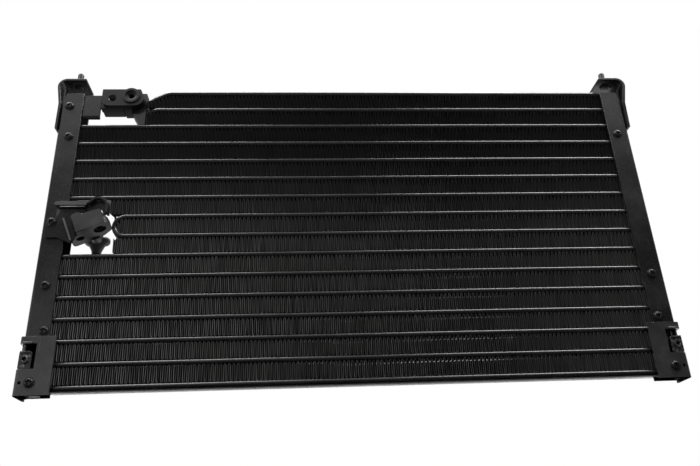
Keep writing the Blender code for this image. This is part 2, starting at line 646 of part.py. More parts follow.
def circuit_path(first):
    """The centre line of one circuit, from the inlet header to the outlet header."""
    rows = circuit_rows(first)
    entry = INLET_HEADER_FACE - TUBE_END_INSERT + CLEARANCE
    middle_depth = TUBE_DEPTH / 2
    drop = INLET_DROP if first == 1 else 0
    corners = [Vector((entry, middle_depth, run_height(first) - drop))]
    radii = []
    if drop:
        corners.append(Vector((INLET_HEADER_FACE + RAMP_START, middle_depth, run_height(first) - drop)))
        corners.append(Vector((INLET_HEADER_FACE + RAMP_END, middle_depth, run_height(first))))
        radii.extend([0.016, 0.016])
    side = 1
    for row, following in zip(rows, rows[1:]):
        if following - row == 1:
            reach = INNER_REACH
            radius = TUBE_PITCH / 2 * 0.999
            if side < 0 and row == BAY_RUN_ABOVE + 1:
                reach = -BAY_EDGE
        else:
            reach = OUTER_REACH
            radius = TUBE_BEND_RADIUS
        for level in (row, following):
            corners.append(Vector((side * reach, middle_depth, run_height(level))))
            radii.append(radius)
        side = -side
    end = -(CHANNEL_EDGE - CHANNEL_SHEET - CLEARANCE - OUTLET_HEADER_WIDTH) - TUBE_END_INSERT + CLEARANCE
    corners.append(Vector((end, middle_depth, run_height(rows[-1]))))
    return rounded_path(corners, radii, 6)


def with_taper_points(points):
    """Add the points where the narrowed tube ends begin and reach their full depth."""
    straight = TUBE_END_INSERT + CLEARANCE
    first_way = (points[1] - points[0]).normalized()
    last_way = (points[-2] - points[-1]).normalized()
    start = [points[0], points[0] + first_way * straight]
    finish = [points[-1] + last_way * (straight + TUBE_END_TAPER), points[-1] + last_way * straight,
              points[-1]]
    return start + points[1:-1] + finish


def flat_tube(name, first, material):
    """A flat tube with rounded edges, bent to and fro, its two ends narrowed to enter the headers."""
    points = with_taper_points(circuit_path(first))
    travelled = [0.0]
    for before, point in zip(points, points[1:]):
        travelled.append(travelled[-1] + (point - before).length)
    straight = TUBE_END_INSERT + CLEARANCE

    def section(index):
        from_end = min(travelled[index], travelled[-1] - travelled[index])
        share = min(max((from_end - straight) / TUBE_END_TAPER, 0), 1)
        half_depth = (TUBE_END_DEPTH + (TUBE_DEPTH - TUBE_END_DEPTH) * share) / 2
        half = TUBE_THICKNESS / 2
        flat = half_depth - half * 0.75
        return [(half_depth, half * 0.45), (flat, half), (-flat, half), (-half_depth, half * 0.45),
                (-half_depth, -half * 0.45), (-flat, -half), (flat, -half), (half_depth, -half * 0.45)]

    return add_object(name, swept(points, section), material, 50.0)


def fin_start(row):
    """Left end of a fin row; the rows by the two fittings start further in."""
    if row in (1, 2):
        return INLET_HEADER_FACE + FIN_END_GAP
    if row == BAY_RUN_ABOVE:
        return BAY_EDGE - BAY_FIN_OVERHANG
    if row == BAY_RUN_ABOVE + 1:
        return BAY_EDGE + TUBE_PITCH / 2 - BEND_FIN_REACH
    if row == BAY_RUN_ABOVE + 2:
        return BAY_EDGE
    return -FIN_REACH


def fin_limits(row, x):
    """Lower and upper end of a fin row at x; the rows by a bent tube follow its inner side."""
    gap = TUBE_THICKNESS / 2 + CLEARANCE
    top = run_height(row) - gap
    bottom = run_height(row + 1) + gap
    if row == 1:
        ramp = (x - INLET_HEADER_FACE - RAMP_START) / (RAMP_END - RAMP_START)
        if ramp < 1.2:
            top -= INLET_DROP * (1 - min(max(ramp, 0), 1)) + 2 * CLEARANCE
    bend_centre = BAY_EDGE + TUBE_PITCH / 2
    if row == BAY_RUN_ABOVE + 1 and x < bend_centre:
        middle = (top + bottom) / 2
        radius = TUBE_PITCH / 2 - gap - CLEARANCE
        half = math.sqrt(max(radius * radius - (bend_centre - x) ** 2, 0))
        return middle - half, middle + half
    return bottom, top


def fin_row(row, material):
    """One corrugated strip between two runs, as a folded sheet of even thickness."""
    start = fin_start(row)
    bottom, top = fin_limits(row, FIN_REACH)
    legs = max(round((FIN_REACH - start) / FIN_LEG), 2)
    step = (FIN_REACH - start) / legs
    slope = (top - bottom) / step
    upright = FIN_SHEET * math.sqrt(1 + slope * slope) / 2
    upper = []
    lower = []
    for fold in range(legs + 1):
        x = start + fold * step
        low, high = fin_limits(row, x)
        crest = fold % 2 == 0
        upper.append((x, high if crest else low + upright))
        lower.append((x, high - upright if crest else low))
    outline = upper + list(reversed(lower))
    bm = bmesh.new()
    sheet = []
    for depth in (FIN_RECESS, TUBE_DEPTH - FIN_RECESS):
        sheet.append([bm.verts.new(place("Y", x, z, depth)) for x, z in outline])
    count = len(outline)
    for corner in range(count):
        following = (corner + 1) % count
        bm.faces.new((sheet[0][corner], sheet[0][following], sheet[1][following], sheet[1][corner]))
    for layer in sheet:
        for fold in range(legs):
            mate = count - 1 - fold
            bm.faces.new((layer[fold], layer[fold + 1], layer[mate - 1], layer[mate]))
    return add_object(f"fin_row_{row:02d}", bm, material, 20.0)


def inlet_header(material):
    """The short manifold behind the inlet block, with a slot for each of the two tubes."""
    face = INLET_HEADER_FACE
    top = TOP_RUN + CLEARANCE
    floor = TOP_RUN - INLET_BLOCK_HEIGHT
    foot = run_height(3) + TUBE_THICKNESS / 2 + CLEARANCE
    corners = [(face, top), (face, foot), (face - INLET_HEADER_FOOT, foot),
               (face - INLET_HEADER_NECK, floor - 0.003), (face - INLET_HEADER_NECK, floor),
               (face - INLET_HEADER_WIDTH, floor), (face - INLET_HEADER_WIDTH, top)]
    outline = rounded_outline(corners, [0.001, 0.001, 0.002, 0.002, 0, 0.001, 0.001], 2)
    item = add_object("inlet_header", prism(outline, "Y", HEADER_FRONT, HEADER_BACK), material)
    middle = TUBE_DEPTH / 2
    half_depth = TUBE_END_DEPTH / 2 + CLEARANCE
    half_slot = TUBE_THICKNESS / 2 + CLEARANCE
    slots = []
    for level in (run_height(1) - INLET_DROP, run_height(2)):
        slots.append(prism(rectangle(middle - half_depth, level - half_slot, middle + half_depth,
                                     level + half_slot), "X", face - TUBE_END_INSERT - CLEARANCE,
                           face + TUBE_END_INSERT))
    gallery_end = face - TUBE_END_INSERT
    deep = (middle - GALLERY_DEPTH / 2, middle + GALLERY_DEPTH / 2)
    gallery = prism(rectangle(gallery_end - GALLERY_WIDTH, run_height(2) - half_slot,
                              gallery_end, run_height(1) - INLET_DROP + half_slot / 2), "Y", *deep)
    x, z = inlet_port_spot()
    bore = cylinder((x, 0, z), (0, 1, 0), PORT_BORE_RADIUS, HEADER_FRONT - CLEARANCE,
                    middle + GALLERY_DEPTH / 4)
    passage = prism(rectangle(x, z - PORT_BORE_RADIUS / 2, gallery_end - GALLERY_WIDTH / 2,
                              z + PORT_BORE_RADIUS / 2), "Y", middle - GALLERY_DEPTH / 3,
                    middle + GALLERY_DEPTH / 5)
    cut(item, slots + [gallery, bore, passage])
    return item


def inlet_port_spot():
    """Centre of the inlet port on the block's face, as (x, z)."""
    return INLET_HEADER_FACE - INLET_PAD_SETBACK - PORT_INSET, TOP_RUN - PORT_DROP


def inlet_block(material):
    """The connection block: a rounded pad with port boss and bolt hole, a body and a bolt foot."""
    right = INLET_HEADER_FACE - INLET_PAD_SETBACK
    left = right - INLET_BLOCK_WIDTH
    top = TOP_RUN + CLEARANCE
    bottom = TOP_RUN - INLET_BLOCK_HEIGHT
    corners = [(left, top), (left, bottom), (right, bottom), (right, top - INLET_PAD_SHOULDER),
               (right - 0.0038, top)]
    outline = rounded_outline(corners, [0.001, 0.008, INLET_PAD_ROUND, 0.001, 0.001], 5)
    pad_back = HEADER_FRONT - CLEARANCE
    item = add_object("inlet_block", prism(outline, "Y", -INLET_PAD_FRONT, pad_back), material)
    body_left = left - INLET_BODY_OVERHANG
    body_right = INLET_HEADER_FACE - INLET_HEADER_WIDTH - CLEARANCE
    body = prism(rectangle(body_left, bottom + 0.0003, body_right, top - 0.001), "Y",
                 pad_back - 0.0018, INLET_BODY_BACK)
    foot = prism(rectangle(body_left + 0.0006, bottom + 0.0006, body_right, top - 0.004), "Y",
                 INLET_BODY_BACK - 0.001, INLET_FOOT_BACK)
    x, z = inlet_port_spot()
    boss = cylinder((x, 0, z), (0, 1, 0), PORT_BOSS_RADIUS, -INLET_PAD_FRONT - PORT_BOSS_HEIGHT,
                    pad_back - 0.0012, 24)
    join(item, [body, foot, boss])
    face = -INLET_PAD_FRONT - PORT_BOSS_HEIGHT
    bolt_x = right - BOLT_HOLE_INSET
    bolt_z = TOP_RUN - BOLT_HOLE_DROP
    cut(item, [cylinder((x, 0, z), (0, 1, 0), PORT_RECESS_RADIUS, face - 0.001,
                        face + PORT_RECESS_DEPTH),
               cylinder((x, 0, z), (0, 1, 0), PORT_BORE_RADIUS, face - 0.001, pad_back + 0.001),
               cylinder((bolt_x, 0, bolt_z), (0, 1, 0), BOLT_HOLE_RADIUS,
                        -INLET_PAD_FRONT - 0.001, INLET_FOOT_BACK + 0.001)])
    return item


def inlet_bracket(material):
    """An angle plate from behind the channel's front flange to the inlet block's end."""
    block_left = INLET_HEADER_FACE - INLET_PAD_SETBACK - INLET_BLOCK_WIDTH - INLET_BODY_OVERHANG
    right = block_left - CLEARANCE
    left = -(CHANNEL_EDGE - CHANNEL_BEND_RADIUS - 0.0005)
    top = TOP_RUN - INLET_BRACKET_TOP_DROP
    bottom = top - INLET_BRACKET_HEIGHT
    sheet = INLET_BRACKET_SHEET
    corners = [(0, top), (0, bottom), (INLET_BRACKET_LIP, bottom), (INLET_BRACKET_LIP, bottom + sheet),
               (sheet, bottom + sheet), (sheet, top)]
    outline = rounded_outline(corners, [0, sheet * 1.2, 0, 0, sheet * 0.2, 0], 3)
    item = add_object("inlet_bracket", prism(outline, "X", left, right), material)
    run, inset = LEFT_SCREWS[0]
    cut(item, [cylinder((-(CHANNEL_EDGE - inset), 0, run_height(run)), (0, 1, 0),
                        SCREW_SHANK_RADIUS + CLEARANCE, -sheet, 2 * sheet, 12)])
    return item


def bay_point(inset, drop):
    """A point of the outlet fitting: inset from the channel's outer face, drop below run 7."""
    return -(CHANNEL_EDGE - inset), BAY_TOP - drop


def block_point(gap, drop):
    """A point of the outlet fitting: gap from the bay's inner end, drop below run 7."""
    return BAY_EDGE - gap, BAY_TOP - drop


def tilted(bm):
    """Move a solid from the outlet block's own axes (along, depth, height) to its tilted place."""
    corner_x, corner_z = block_point(OUTLET_CORNER_GAP, OUTLET_CORNER_DROP)
    turn = Matrix.Rotation(-math.radians(OUTLET_BLOCK_TILT), 4, "Y")
    matrix = Matrix.Translation((corner_x, 0, corner_z)) @ turn
    bmesh.ops.transform(bm, matrix=matrix, verts=bm.verts)
    return bm


def outlet_neck_spot():
    """Centre of the neck behind the outlet block that the pipe starts from, as (x, z)."""
    corner_x, corner_z = block_point(OUTLET_CORNER_GAP, OUTLET_CORNER_DROP)
    tilt = math.radians(OUTLET_BLOCK_TILT)
    along, height = OUTLET_NECK_PLACE
    return (corner_x + along * math.cos(tilt) - height * math.sin(tilt),
            corner_z + along * math.sin(tilt) + height * math.cos(tilt))


def outlet_joint_spot():
    """Centre of the round joint behind the outlet block, as (x, z)."""
    return block_point(OUTLET_JOINT_GAP, OUTLET_JOINT_DROP)


def outlet_joint():
    """The joint's solids: a short round body across, and a flat funnel that narrows to the pipe."""
    x, z = outlet_joint_spot()
    radius = OUTLET_JOINT_RADIUS
    half = OUTLET_JOINT_SPAN / 2
    profile = [(0, -half), (radius * 0.6, -half + radius * 0.2), (radius * 0.92, -half + radius * 0.6),
               (radius, -half + radius), (radius, half - radius), (radius * 0.92, half - radius * 0.6),
               (radius * 0.6, half - radius * 0.2), (0, half)]
    body = turned(profile, (x, PIPE_DEPTH, z), (1, 0, 0), 16)
    steps = 6
    points = []
    for step in range(steps + 1):
        points.append(Vector((x, PIPE_DEPTH, z - OUTLET_FUNNEL_HEIGHT * step / steps)))

    def section(index):
        share = index / steps
        ease = share * share * (3 - 2 * share)
        wide = OUTLET_FUNNEL_WIDTH / 2 + (PIPE_FLARE_RADIUS - OUTLET_FUNNEL_WIDTH / 2) * ease
        deep = radius * 0.9 + (PIPE_FLARE_RADIUS - radius * 0.9) * ease
        corners = 16
        turns = [2 * math.pi * corner / corners for corner in range(corners)]
        return [(deep * math.cos(turn), wide * math.sin(turn)) for turn in turns]

    return [body, swept(points, section)]


def outlet_block(material):
    """The tilted connection block: its mating pad faces down, with a port and a bolt hole."""
    front = -OUTLET_BLOCK_FRONT
    width = OUTLET_BLOCK_WIDTH
    pad = OUTLET_PAD_WIDTH
    back = OUTLET_BLOCK_BACK
    step = -CLEARANCE * 4
    pad_corners = [(0, front), (pad, front), (pad, back * 0.55), (pad - OUTLET_PAD_SLOPE, back * 0.87),
                   (pad - 0.014, back), (-OUTLET_PAD_TAIL, back), (-OUTLET_PAD_TAIL, step), (0, step)]
    pad_outline = rounded_outline(pad_corners, [0.0008, 0.008, 0.007, 0.004, 0.004, 0.003, 0.002, 0], 3)
    item = add_object("outlet_block", tilted(prism(pad_outline, "Z", 0, OUTLET_PAD_HEIGHT)), material)
    body_corners = [(0.0005, CLEARANCE), (width, CLEARANCE), (width, OUTLET_BLOCK_HEIGHT),
                    (0.0105, OUTLET_BLOCK_HEIGHT + 0.001), (0.0080, OUTLET_BLOCK_HEIGHT + 0.0045),
                    (0.0005, OUTLET_BLOCK_HEIGHT + 0.0035)]
    body_outline = rounded_outline(body_corners, [0.0004, 0.0015, 0.002, 0.001, 0.003, 0.0025], 3)
    body = tilted(prism(body_outline, "Y", front + CLEARANCE, OUTLET_BODY_BACK))
    tail = -OUTLET_PAD_TAIL + 0.0006
    foot_corners = rectangle(tail, step + 0.0018, tail + OUTLET_FOOT_WIDTH, back - 0.001)
    foot_outline = rounded_outline(foot_corners, [0.0008, 0.0008, 0.004, 0.004], 3)
    foot = tilted(prism(foot_outline, "Z", OUTLET_PAD_HEIGHT / 2, OUTLET_FOOT_HEIGHT))
    neck_x, neck_z = outlet_neck_spot()
    neck = cylinder((neck_x, 0, neck_z), (0, 1, 0), OUTLET_NECK_RADIUS, back - 0.004, PIPE_DEPTH)
    join(item, [body, foot, neck, *outlet_joint()])
    port = (*OUTLET_PORT_PLACE, 0)
    bolt = (*OUTLET_BOLT_PLACE, 0)
    up = (0, 0, 1)
    cut(item, [tilted(cylinder(port, up, PORT_RECESS_RADIUS, -0.001, PORT_RECESS_DEPTH)),
               tilted(cylinder(port, up, OUTLET_PORT_RADIUS, -0.001, OUTLET_PAD_HEIGHT + 0.002)),
               tilted(cylinder(bolt, up, OUTLET_BOLT_RADIUS, -0.001, OUTLET_BOLT_DEPTH))])
    return item


def outlet_bracket(material):
    """The plate from the channel to the block, with a folded bar on top and a lip by the block."""
    corners = [block_point(gap, drop) for gap, drop in PLATE_BLOCK_SIDE]
    corners += [bay_point(inset, drop) for inset, drop in PLATE_CHANNEL_SIDE]
    outline = rounded_outline(corners, [0, 0, 0.001, 0.001, 0.001, 0.001, 0.001, 0.003, 0.001, 0.002], 2)
    back = CHANNEL_FRONT - CLEARANCE
    front = back - OUTLET_BRACKET_SHEET
    item = add_object("outlet_bracket", prism(outline, "Y", front, back), material)
    bar_left, bar_top = bay_point(OUTLET_BAR_INSET, OUTLET_BAR_DROP)
    bar_right = BAY_EDGE - OUTLET_BAR_GAP
    bar = rounded_outline(rectangle(bar_left, bar_top - OUTLET_BAR_HEIGHT, bar_right, bar_top),
                          [0.0022, 0.0006, 0.0006, 0.0022], 3)
    edge_left, edge_top = bay_point(OUTLET_EDGE_INSET, OUTLET_EDGE_DROP)
    edge = rectangle(edge_left, edge_top - OUTLET_EDGE_HEIGHT, bar_right - 0.0010, edge_top)
    lip = [block_point(gap, drop) for gap, drop in PLATE_LIP]
    lip += [(x + OUTLET_LIP_WIDTH, z + 0.0004) for x, z in reversed(lip)]
    middle = (front + back) / 2
    join(item, [prism(bar, "Y", -OUTLET_BAR_FRONT, middle),
                prism(edge, "Y", -OUTLET_BAR_FRONT - 0.0006, middle),
                prism(lip, "Y", -OUTLET_BAR_FRONT, middle)])
    run, inset = LEFT_SCREWS[2]
    cut(item, [cylinder((-(CHANNEL_EDGE - inset), 0, run_height(run)), (0, 1, 0),
                        SCREW_SHANK_RADIUS + CLEARANCE, front - 0.001, back + CLEARANCE / 2, 12)])
    return item


def outlet_strap(material):
    """A sheet strap from the bracket's bar over and round the outlet block's free end."""
    spots = [block_point(gap, drop) for gap, drop in STRAP_PATH]
    middle = -(OUTLET_STRAP_FRONT + CLEARANCE * 2) / 2
    corners = [Vector((x, middle, z)) for x, z in spots]
    points = rounded_path(corners, [0.0012, 0.003, 0.0085], 6)
    half_depth = (OUTLET_STRAP_FRONT - CLEARANCE * 2) / 2
    half = OUTLET_STRAP_SHEET / 2
    section = [(half_depth, -half), (half_depth, half), (-half_depth, half), (-half_depth, -half)]
    return add_object("outlet_strap", swept(points, lambda index: section), material)


def outlet_header(material):
    """The manifold in the left channel where both tubes end, with a port in its back."""
    left = -(CHANNEL_EDGE - CHANNEL_SHEET - CLEARANCE)
    right = left + OUTLET_HEADER_WIDTH
    last = run_height(TUBE_RUNS)
    before_last = run_height(TUBE_RUNS - 1)
    low = last - OUTLET_HEADER_ABOVE
    high = before_last + OUTLET_HEADER_ABOVE
    outline = rounded_outline(rectangle(left, HEADER_FRONT, right, HEADER_BACK), [0.002] * 4, 2)
    item = add_object("outlet_header", prism(outline, "Z", low, high), material)
    middle = TUBE_DEPTH / 2
    half_depth = TUBE_END_DEPTH / 2 + CLEARANCE
    half_slot = TUBE_THICKNESS / 2 + CLEARANCE
    slots = []
    for level in (before_last, last):
        slots.append(prism(rectangle(middle - half_depth, level - half_slot, middle + half_depth,
                                     level + half_slot), "X", right - TUBE_END_INSERT - CLEARANCE,
                           right + TUBE_END_INSERT))
    gallery = prism(rectangle(right - TUBE_END_INSERT - GALLERY_WIDTH, last - half_slot / 2,
                              right - TUBE_END_INSERT, before_last + half_slot / 2), "Y",
                    middle - GALLERY_DEPTH / 2, middle + GALLERY_DEPTH / 2)
    x, z = outlet_port_spot()
    port = cylinder((x, 0, z), (0, 1, 0), PIPE_BORE_RADIUS, middle, HEADER_BACK + CLEARANCE, 12)
    cut(item, slots + [gallery, port])
    return item


def outlet_pipe(material):
    """The round pipe from the outlet block's joint down behind the channel to the header."""
    start_x, joint_z = outlet_joint_spot()
    port_x, port_z = outlet_port_spot()
    corners = [Vector((start_x, PIPE_DEPTH, joint_z - OUTLET_FUNNEL_HEIGHT - CLEARANCE)),
               Vector((start_x, PIPE_DEPTH, joint_z - PIPE_SWEEP_START)),
               Vector((port_x, PIPE_DEPTH, joint_z - PIPE_SWEEP_END)),
               Vector((port_x, PIPE_DEPTH, port_z)),
               Vector((port_x, HEADER_BACK + CLEARANCE, port_z))]
    radii = [PIPE_SWEEP_RADIUS, PIPE_SWEEP_RADIUS, PIPE_BEND_RADIUS]
    points = rounded_path(corners, radii, 5)
    travelled = 0.0
    sizes = [PIPE_FLARE_RADIUS]
    for before, point in zip(points, points[1:]):
        travelled += (point - before).length
        share = min(travelled / PIPE_FLARE_LENGTH, 1)
        ease = share * share * (3 - 2 * share)
        sizes.append(PIPE_FLARE_RADIUS + (PIPE_RADIUS - PIPE_FLARE_RADIUS) * ease)
    return add_object("outlet_pipe", swept_round(points, sizes, 12), material)


def pipe_clip_spot():
    """Where the pipe clip's screw stands on the channel's back flange, as (x, z)."""
    return -(CHANNEL_EDGE - PIPE_CLIP_SCREW_INSET), run_height(PIPE_CLIP_RUN)


def pipe_clip(material):
    """A sheet clip over the pipe, with a foot on the channel's back flange."""
    port_x = outlet_port_spot()[0]
    screw_x, screw_z = pipe_clip_spot()
    band = PIPE_RADIUS + CLEARANCE + PIPE_CLIP_SHEET / 2
    seat = CHANNEL_BACK + CLEARANCE + PIPE_CLIP_SHEET / 2
    foot_end = screw_x + SCREW_HEAD_RADIUS
    outer_end = PIPE_DEPTH - PIPE_RADIUS / 2
    spots = [(foot_end, seat), (port_x + band, seat), (port_x + band, PIPE_DEPTH + band),
             (port_x - band, PIPE_DEPTH + band), (port_x - band, outer_end)]
    corners = [Vector((x, y, screw_z)) for x, y in spots]
    points = rounded_path(corners, [PIPE_CLIP_SHEET, band * 0.999, band * 0.999], 6)
    half_width = PIPE_CLIP_WIDTH / 2
    half = PIPE_CLIP_SHEET / 2
    section = [(half_width, -half), (half_width, half), (-half_width, half), (-half_width, -half)]
    bm = swept(points, lambda index: section, (0, 0, 1))
    item = add_object("pipe_clip", bm, material)
    cut(item, [cylinder((screw_x, 0, screw_z), (0, 1, 0), SCREW_SHANK_RADIUS + CLEARANCE,
                        CHANNEL_BACK, seat + PIPE_CLIP_SHEET, 12)])
    return item


def swept_round(points, sizes, sides):
    """Sweep a circle along a path that bends in more than one plane, with a radius at each point."""
    bm = bmesh.new()
    turns = [2 * math.pi * corner / sides for corner in range(sides)]
    rings = []
    side = Vector((1, 0, 0))
    for index, point in enumerate(points):
        before = points[max(index - 1, 0)]
        after = points[min(index + 1, len(points) - 1)]
        tangent = (after - before).normalized()
        side = (side - tangent * side.dot(tangent)).normalized()
        up = tangent.cross(side)
        radius = sizes[index]
        rings.append([bm.verts.new(point + side * (radius * math.cos(turn)) + up * (radius * math.sin(turn)))
                      for turn in turns])
    count = sides
    for lower, upper in zip(rings, rings[1:]):
        for corner in range(count):
            following = (corner + 1) % count
            bm.faces.new((lower[corner], lower[following], upper[following], upper[corner]))
    bm.faces.new(list(reversed(rings[0])))
    bm.faces.new(rings[-1])
    return bm


def add_screws(material):
    """The screws in the channels' faces and the one in each bottom bracket."""
    seats = {("left", 3): CHANNEL_FRONT - CLEARANCE - OUTLET_BRACKET_SHEET}
    for side, label, screws in ((-1, "left", LEFT_SCREWS), (1, "right", RIGHT_SCREWS)):
        for number, (run, inset) in enumerate(screws, start=1):
            seat = seats.get((label, number), CHANNEL_FRONT)
            spot = (side * (CHANNEL_EDGE - inset), run_height(run))
            cross_screw(f"{label}_screw_{number}", spot, seat, SCREW_SHANK_LENGTH, material)
        spot = (side * (BOTTOM_OUTER - BOTTOM_SCREW_INSET), BOTTOM_SCREW_HEIGHT)
        cross_screw(f"bottom_{label}_screw", spot, BOTTOM_PLATE_FRONT, BRACKET_SCREW_SHANK_LENGTH,
                    material)
    seat = CHANNEL_BACK + CLEARANCE + PIPE_CLIP_SHEET
    cross_screw("pipe_clip_screw", pipe_clip_spot(), seat, PIPE_CLIP_SCREW_SHANK, material, 1)


def main():
    """Build the whole condenser."""
    clear_scene()
    frame = bpy.data.objects.new("condenser", None)
    bpy.context.collection.objects.link(frame)
    frame.location = (0, -MIDDLE_DEPTH, 0)
    paint = finish_material("black_paint", (0.018, 0.018, 0.019), 0.34, 0.0)
    fin_paint = finish_material("black_fin_paint", (0.012, 0.012, 0.013), 0.5, 0.0)
    plated = finish_material("painted_screw", (0.03, 0.03, 0.03), 0.3, 0.4)
    bare = finish_material("zinc_plate", (0.5, 0.5, 0.48), 0.35, 1.0)
    for side in (-1, 1):
        side_channel(side, paint)
        top_bracket(side, paint)
        locating_pin(side, paint)
        bottom_bracket(side, paint)
        clip_nut(side, plated)
    flat_tube("outer_circuit_tube", 1, paint)
    flat_tube("inner_circuit_tube", 2, paint)
    for row in range(1, TUBE_RUNS):
        fin_row(row, fin_paint)
    inlet_header(paint)
    inlet_block(paint)
    inlet_bracket(paint)
    outlet_block(paint)
    outlet_bracket(paint)
    outlet_strap(paint)
    outlet_header(paint)
    outlet_pipe(paint)
    pipe_clip(bare)
    add_screws(plated)


main()
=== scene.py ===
"""Looks for a black serpentine air conditioning condenser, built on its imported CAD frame.

The fins, the flat tubes, the screws and the locating pins are surfaces worked out with numpy. The folded
sheet parts and the connection blocks are copies of their CAD nodes with their edges broken, so that
the edges catch the light as pressed and painted steel does.
"""
from __future__ import annotations

import logging
import math
from dataclasses import dataclass
from enum import Enum
from typing import Any, Callable, Sequence

import bmesh
import bpy
import numpy as np
from bpy.types import Material, Mesh, NodeSocket, NodeTree, Object
from mathutils import Matrix, Vector

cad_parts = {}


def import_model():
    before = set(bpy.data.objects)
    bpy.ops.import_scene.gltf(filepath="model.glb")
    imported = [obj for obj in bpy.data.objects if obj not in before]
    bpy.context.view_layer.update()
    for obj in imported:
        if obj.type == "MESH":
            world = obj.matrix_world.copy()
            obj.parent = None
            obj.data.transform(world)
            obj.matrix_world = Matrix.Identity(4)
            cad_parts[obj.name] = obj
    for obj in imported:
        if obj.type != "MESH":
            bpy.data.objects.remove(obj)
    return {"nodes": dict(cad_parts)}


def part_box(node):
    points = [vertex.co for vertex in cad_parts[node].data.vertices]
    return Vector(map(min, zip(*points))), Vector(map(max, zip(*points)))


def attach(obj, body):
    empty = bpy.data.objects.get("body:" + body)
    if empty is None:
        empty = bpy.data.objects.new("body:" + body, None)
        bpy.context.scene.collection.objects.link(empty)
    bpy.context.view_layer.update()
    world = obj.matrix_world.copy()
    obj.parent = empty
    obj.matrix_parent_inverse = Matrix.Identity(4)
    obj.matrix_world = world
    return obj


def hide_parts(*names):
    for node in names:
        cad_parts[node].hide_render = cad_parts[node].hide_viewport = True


LOG = logging.getLogger("condenser")
BODY = "root"
SEED = 4816
MM = 0.001
Array = np.ndarray
Pair = tuple[float, float]
Triple = tuple[float, float, float]
Floats = tuple[float, ...]
Names = tuple[str, ...]


class Slot(Enum):
    """Material slots of the record, listed beside some parts, though no piece is given one."""

    PAINT = "black_paint"
    FIN_PAINT = "black_fin_paint"
    SCREW = "painted_screw"
    ZINC = "zinc_plate"


class Facing(Enum):
    """Which way a screw's head looks."""

    FRONT = -1.0
    BACK = 1.0


@dataclass(frozen=True)
class Wire:
    """A shader value that takes part in Python arithmetic and adds its Math nodes as it goes."""

    bench: "ShaderBench"
    socket: NodeSocket

    def _math(self, operation: str, first: Any, second: Any = 0.0) -> "Wire":
        """The result of one Math node with these two values or wires."""
        return self.bench.node("ShaderNodeMath", {"operation": operation}, {0: first, 1: second})

    def __add__(self, other: Any) -> "Wire":
        """Sum."""
        return self._math("ADD", self, other)

    __radd__ = __add__

    def __mul__(self, other: Any) -> "Wire":
        """Product."""
        return self._math("MULTIPLY", self, other)

    __rmul__ = __mul__

    def __sub__(self, other: Any) -> "Wire":
        """Difference."""
        return self._math("SUBTRACT", self, other)

    def __rsub__(self, other: Any) -> "Wire":
        """Difference from a plain number."""
        return self._math("SUBTRACT", other, self)

    def absolute(self) -> "Wire":
        """Distance from zero."""
        return self._math("ABSOLUTE", self)

    def sine(self) -> "Wire":
        """Sine of an angle in radians."""
        return self._math("SINE", self)

    def wrapped(self, period: float) -> "Wire":
        """Remainder after whole periods, never negative."""
        return self._math("FLOORED_MODULO", self, period)

    def above(self, low: float, high: float) -> "Wire":
        """A smooth step from 0 at the low value to 1 at the high one."""
        settings = {"interpolation_type": "SMOOTHSTEP"}
        return self.bench.node("ShaderNodeMapRange", settings, {"Value": self, "From Min": low, "From Max": high})


class ShaderBench:
    """A material's node tree and the one method that adds nodes to it."""

    def __init__(self, name: str = "", tree: NodeTree | None = None) -> None:
        """Make an empty material, or start on another node tree.

        Args:
            name: the material's name.
            tree: the other tree.
        """
        self.material = None
        self.tree = tree
        if tree is None:
            self.material = bpy.data.materials.new(name)
            self.material.use_nodes = True
            self.tree = self.material.node_tree
        self.tree.nodes.clear()

    def node(self, kind: str, settings: dict[str, Any], inputs: dict[Any, Any], output: Any = 0) -> Wire:
        """Add one node.

        Args:
            kind: the node's type.
            settings: attributes that are set before the sockets.
            inputs: values or wires by socket name or index.
            output: the socket that is returned.

        Returns:
            The wire of the output.
        """
        made = self.tree.nodes.new(kind)
        for key, value in settings.items():
            setattr(made, key, value)
        for key, value in inputs.items():
            if isinstance(value, Wire):
                self.tree.links.new(value.socket, made.inputs[key])
            else:
                made.inputs[key].default_value = value
        return Wire(self, made.outputs[output])

    def noise(self, where: Wire, scale: float, detail: float = 2.0, roughness: float = 0.5) -> Wire:
        """Fractal noise around 0.5, with its scale in spots to a metre and its detail in octaves."""
        inputs = {"Vector": where, "Scale": scale, "Detail": detail, "Roughness": roughness}
        return self.node("ShaderNodeTexNoise", {}, inputs, "Fac")

    def place(self) -> Wire:
        """Object coordinates, in metres."""
        return self.node("ShaderNodeTexCoord", {}, {}, "Object")

    def stretched(self, where: Wire, scale: Triple) -> Wire:
        """Coordinates multiplied by a factor along each axis."""
        return self.node("ShaderNodeMapping", {}, {"Vector": where, "Scale": scale})

    def axes(self, where: Wire) -> tuple[Wire, Wire, Wire]:
        """The x, y and z of a vector."""
        first = self.node("ShaderNodeSeparateXYZ", {}, {0: where})
        return first, *(Wire(self, output) for output in first.socket.node.outputs[1:])

    def blend(self, share: Any, under: Any, over: Any) -> Wire:
        """The colour between two, by the share of the second that shows."""
        settings = {"data_type": "RGBA", "clamp_factor": True}
        return self.node("ShaderNodeMix", settings, {0: share, 6: under, 7: over}, 2)

    def bump(self, height: Wire, distance: float, strength: float) -> Wire:
        """A normal bumped by a height whose value 1 stands for a distance in metres."""
        inputs = {"Height": height, "Distance": distance, "Strength": strength}
        return self.node("ShaderNodeBump", {}, inputs, "Normal")

    def surface(self, inputs: dict[str, Any]) -> Material:
        """The material, finished with one Principled shader with these values and wires."""
        self.close(self.node("ShaderNodeBsdfPrincipled", {}, inputs))
        return self.material

    def close(self, shader: Wire, kind: str = "ShaderNodeOutputMaterial") -> None:
        """Link a shader to an output node of the given type."""
        output = self.tree.nodes.new(kind)
        self.tree.links.new(shader.socket, output.inputs["Surface"])


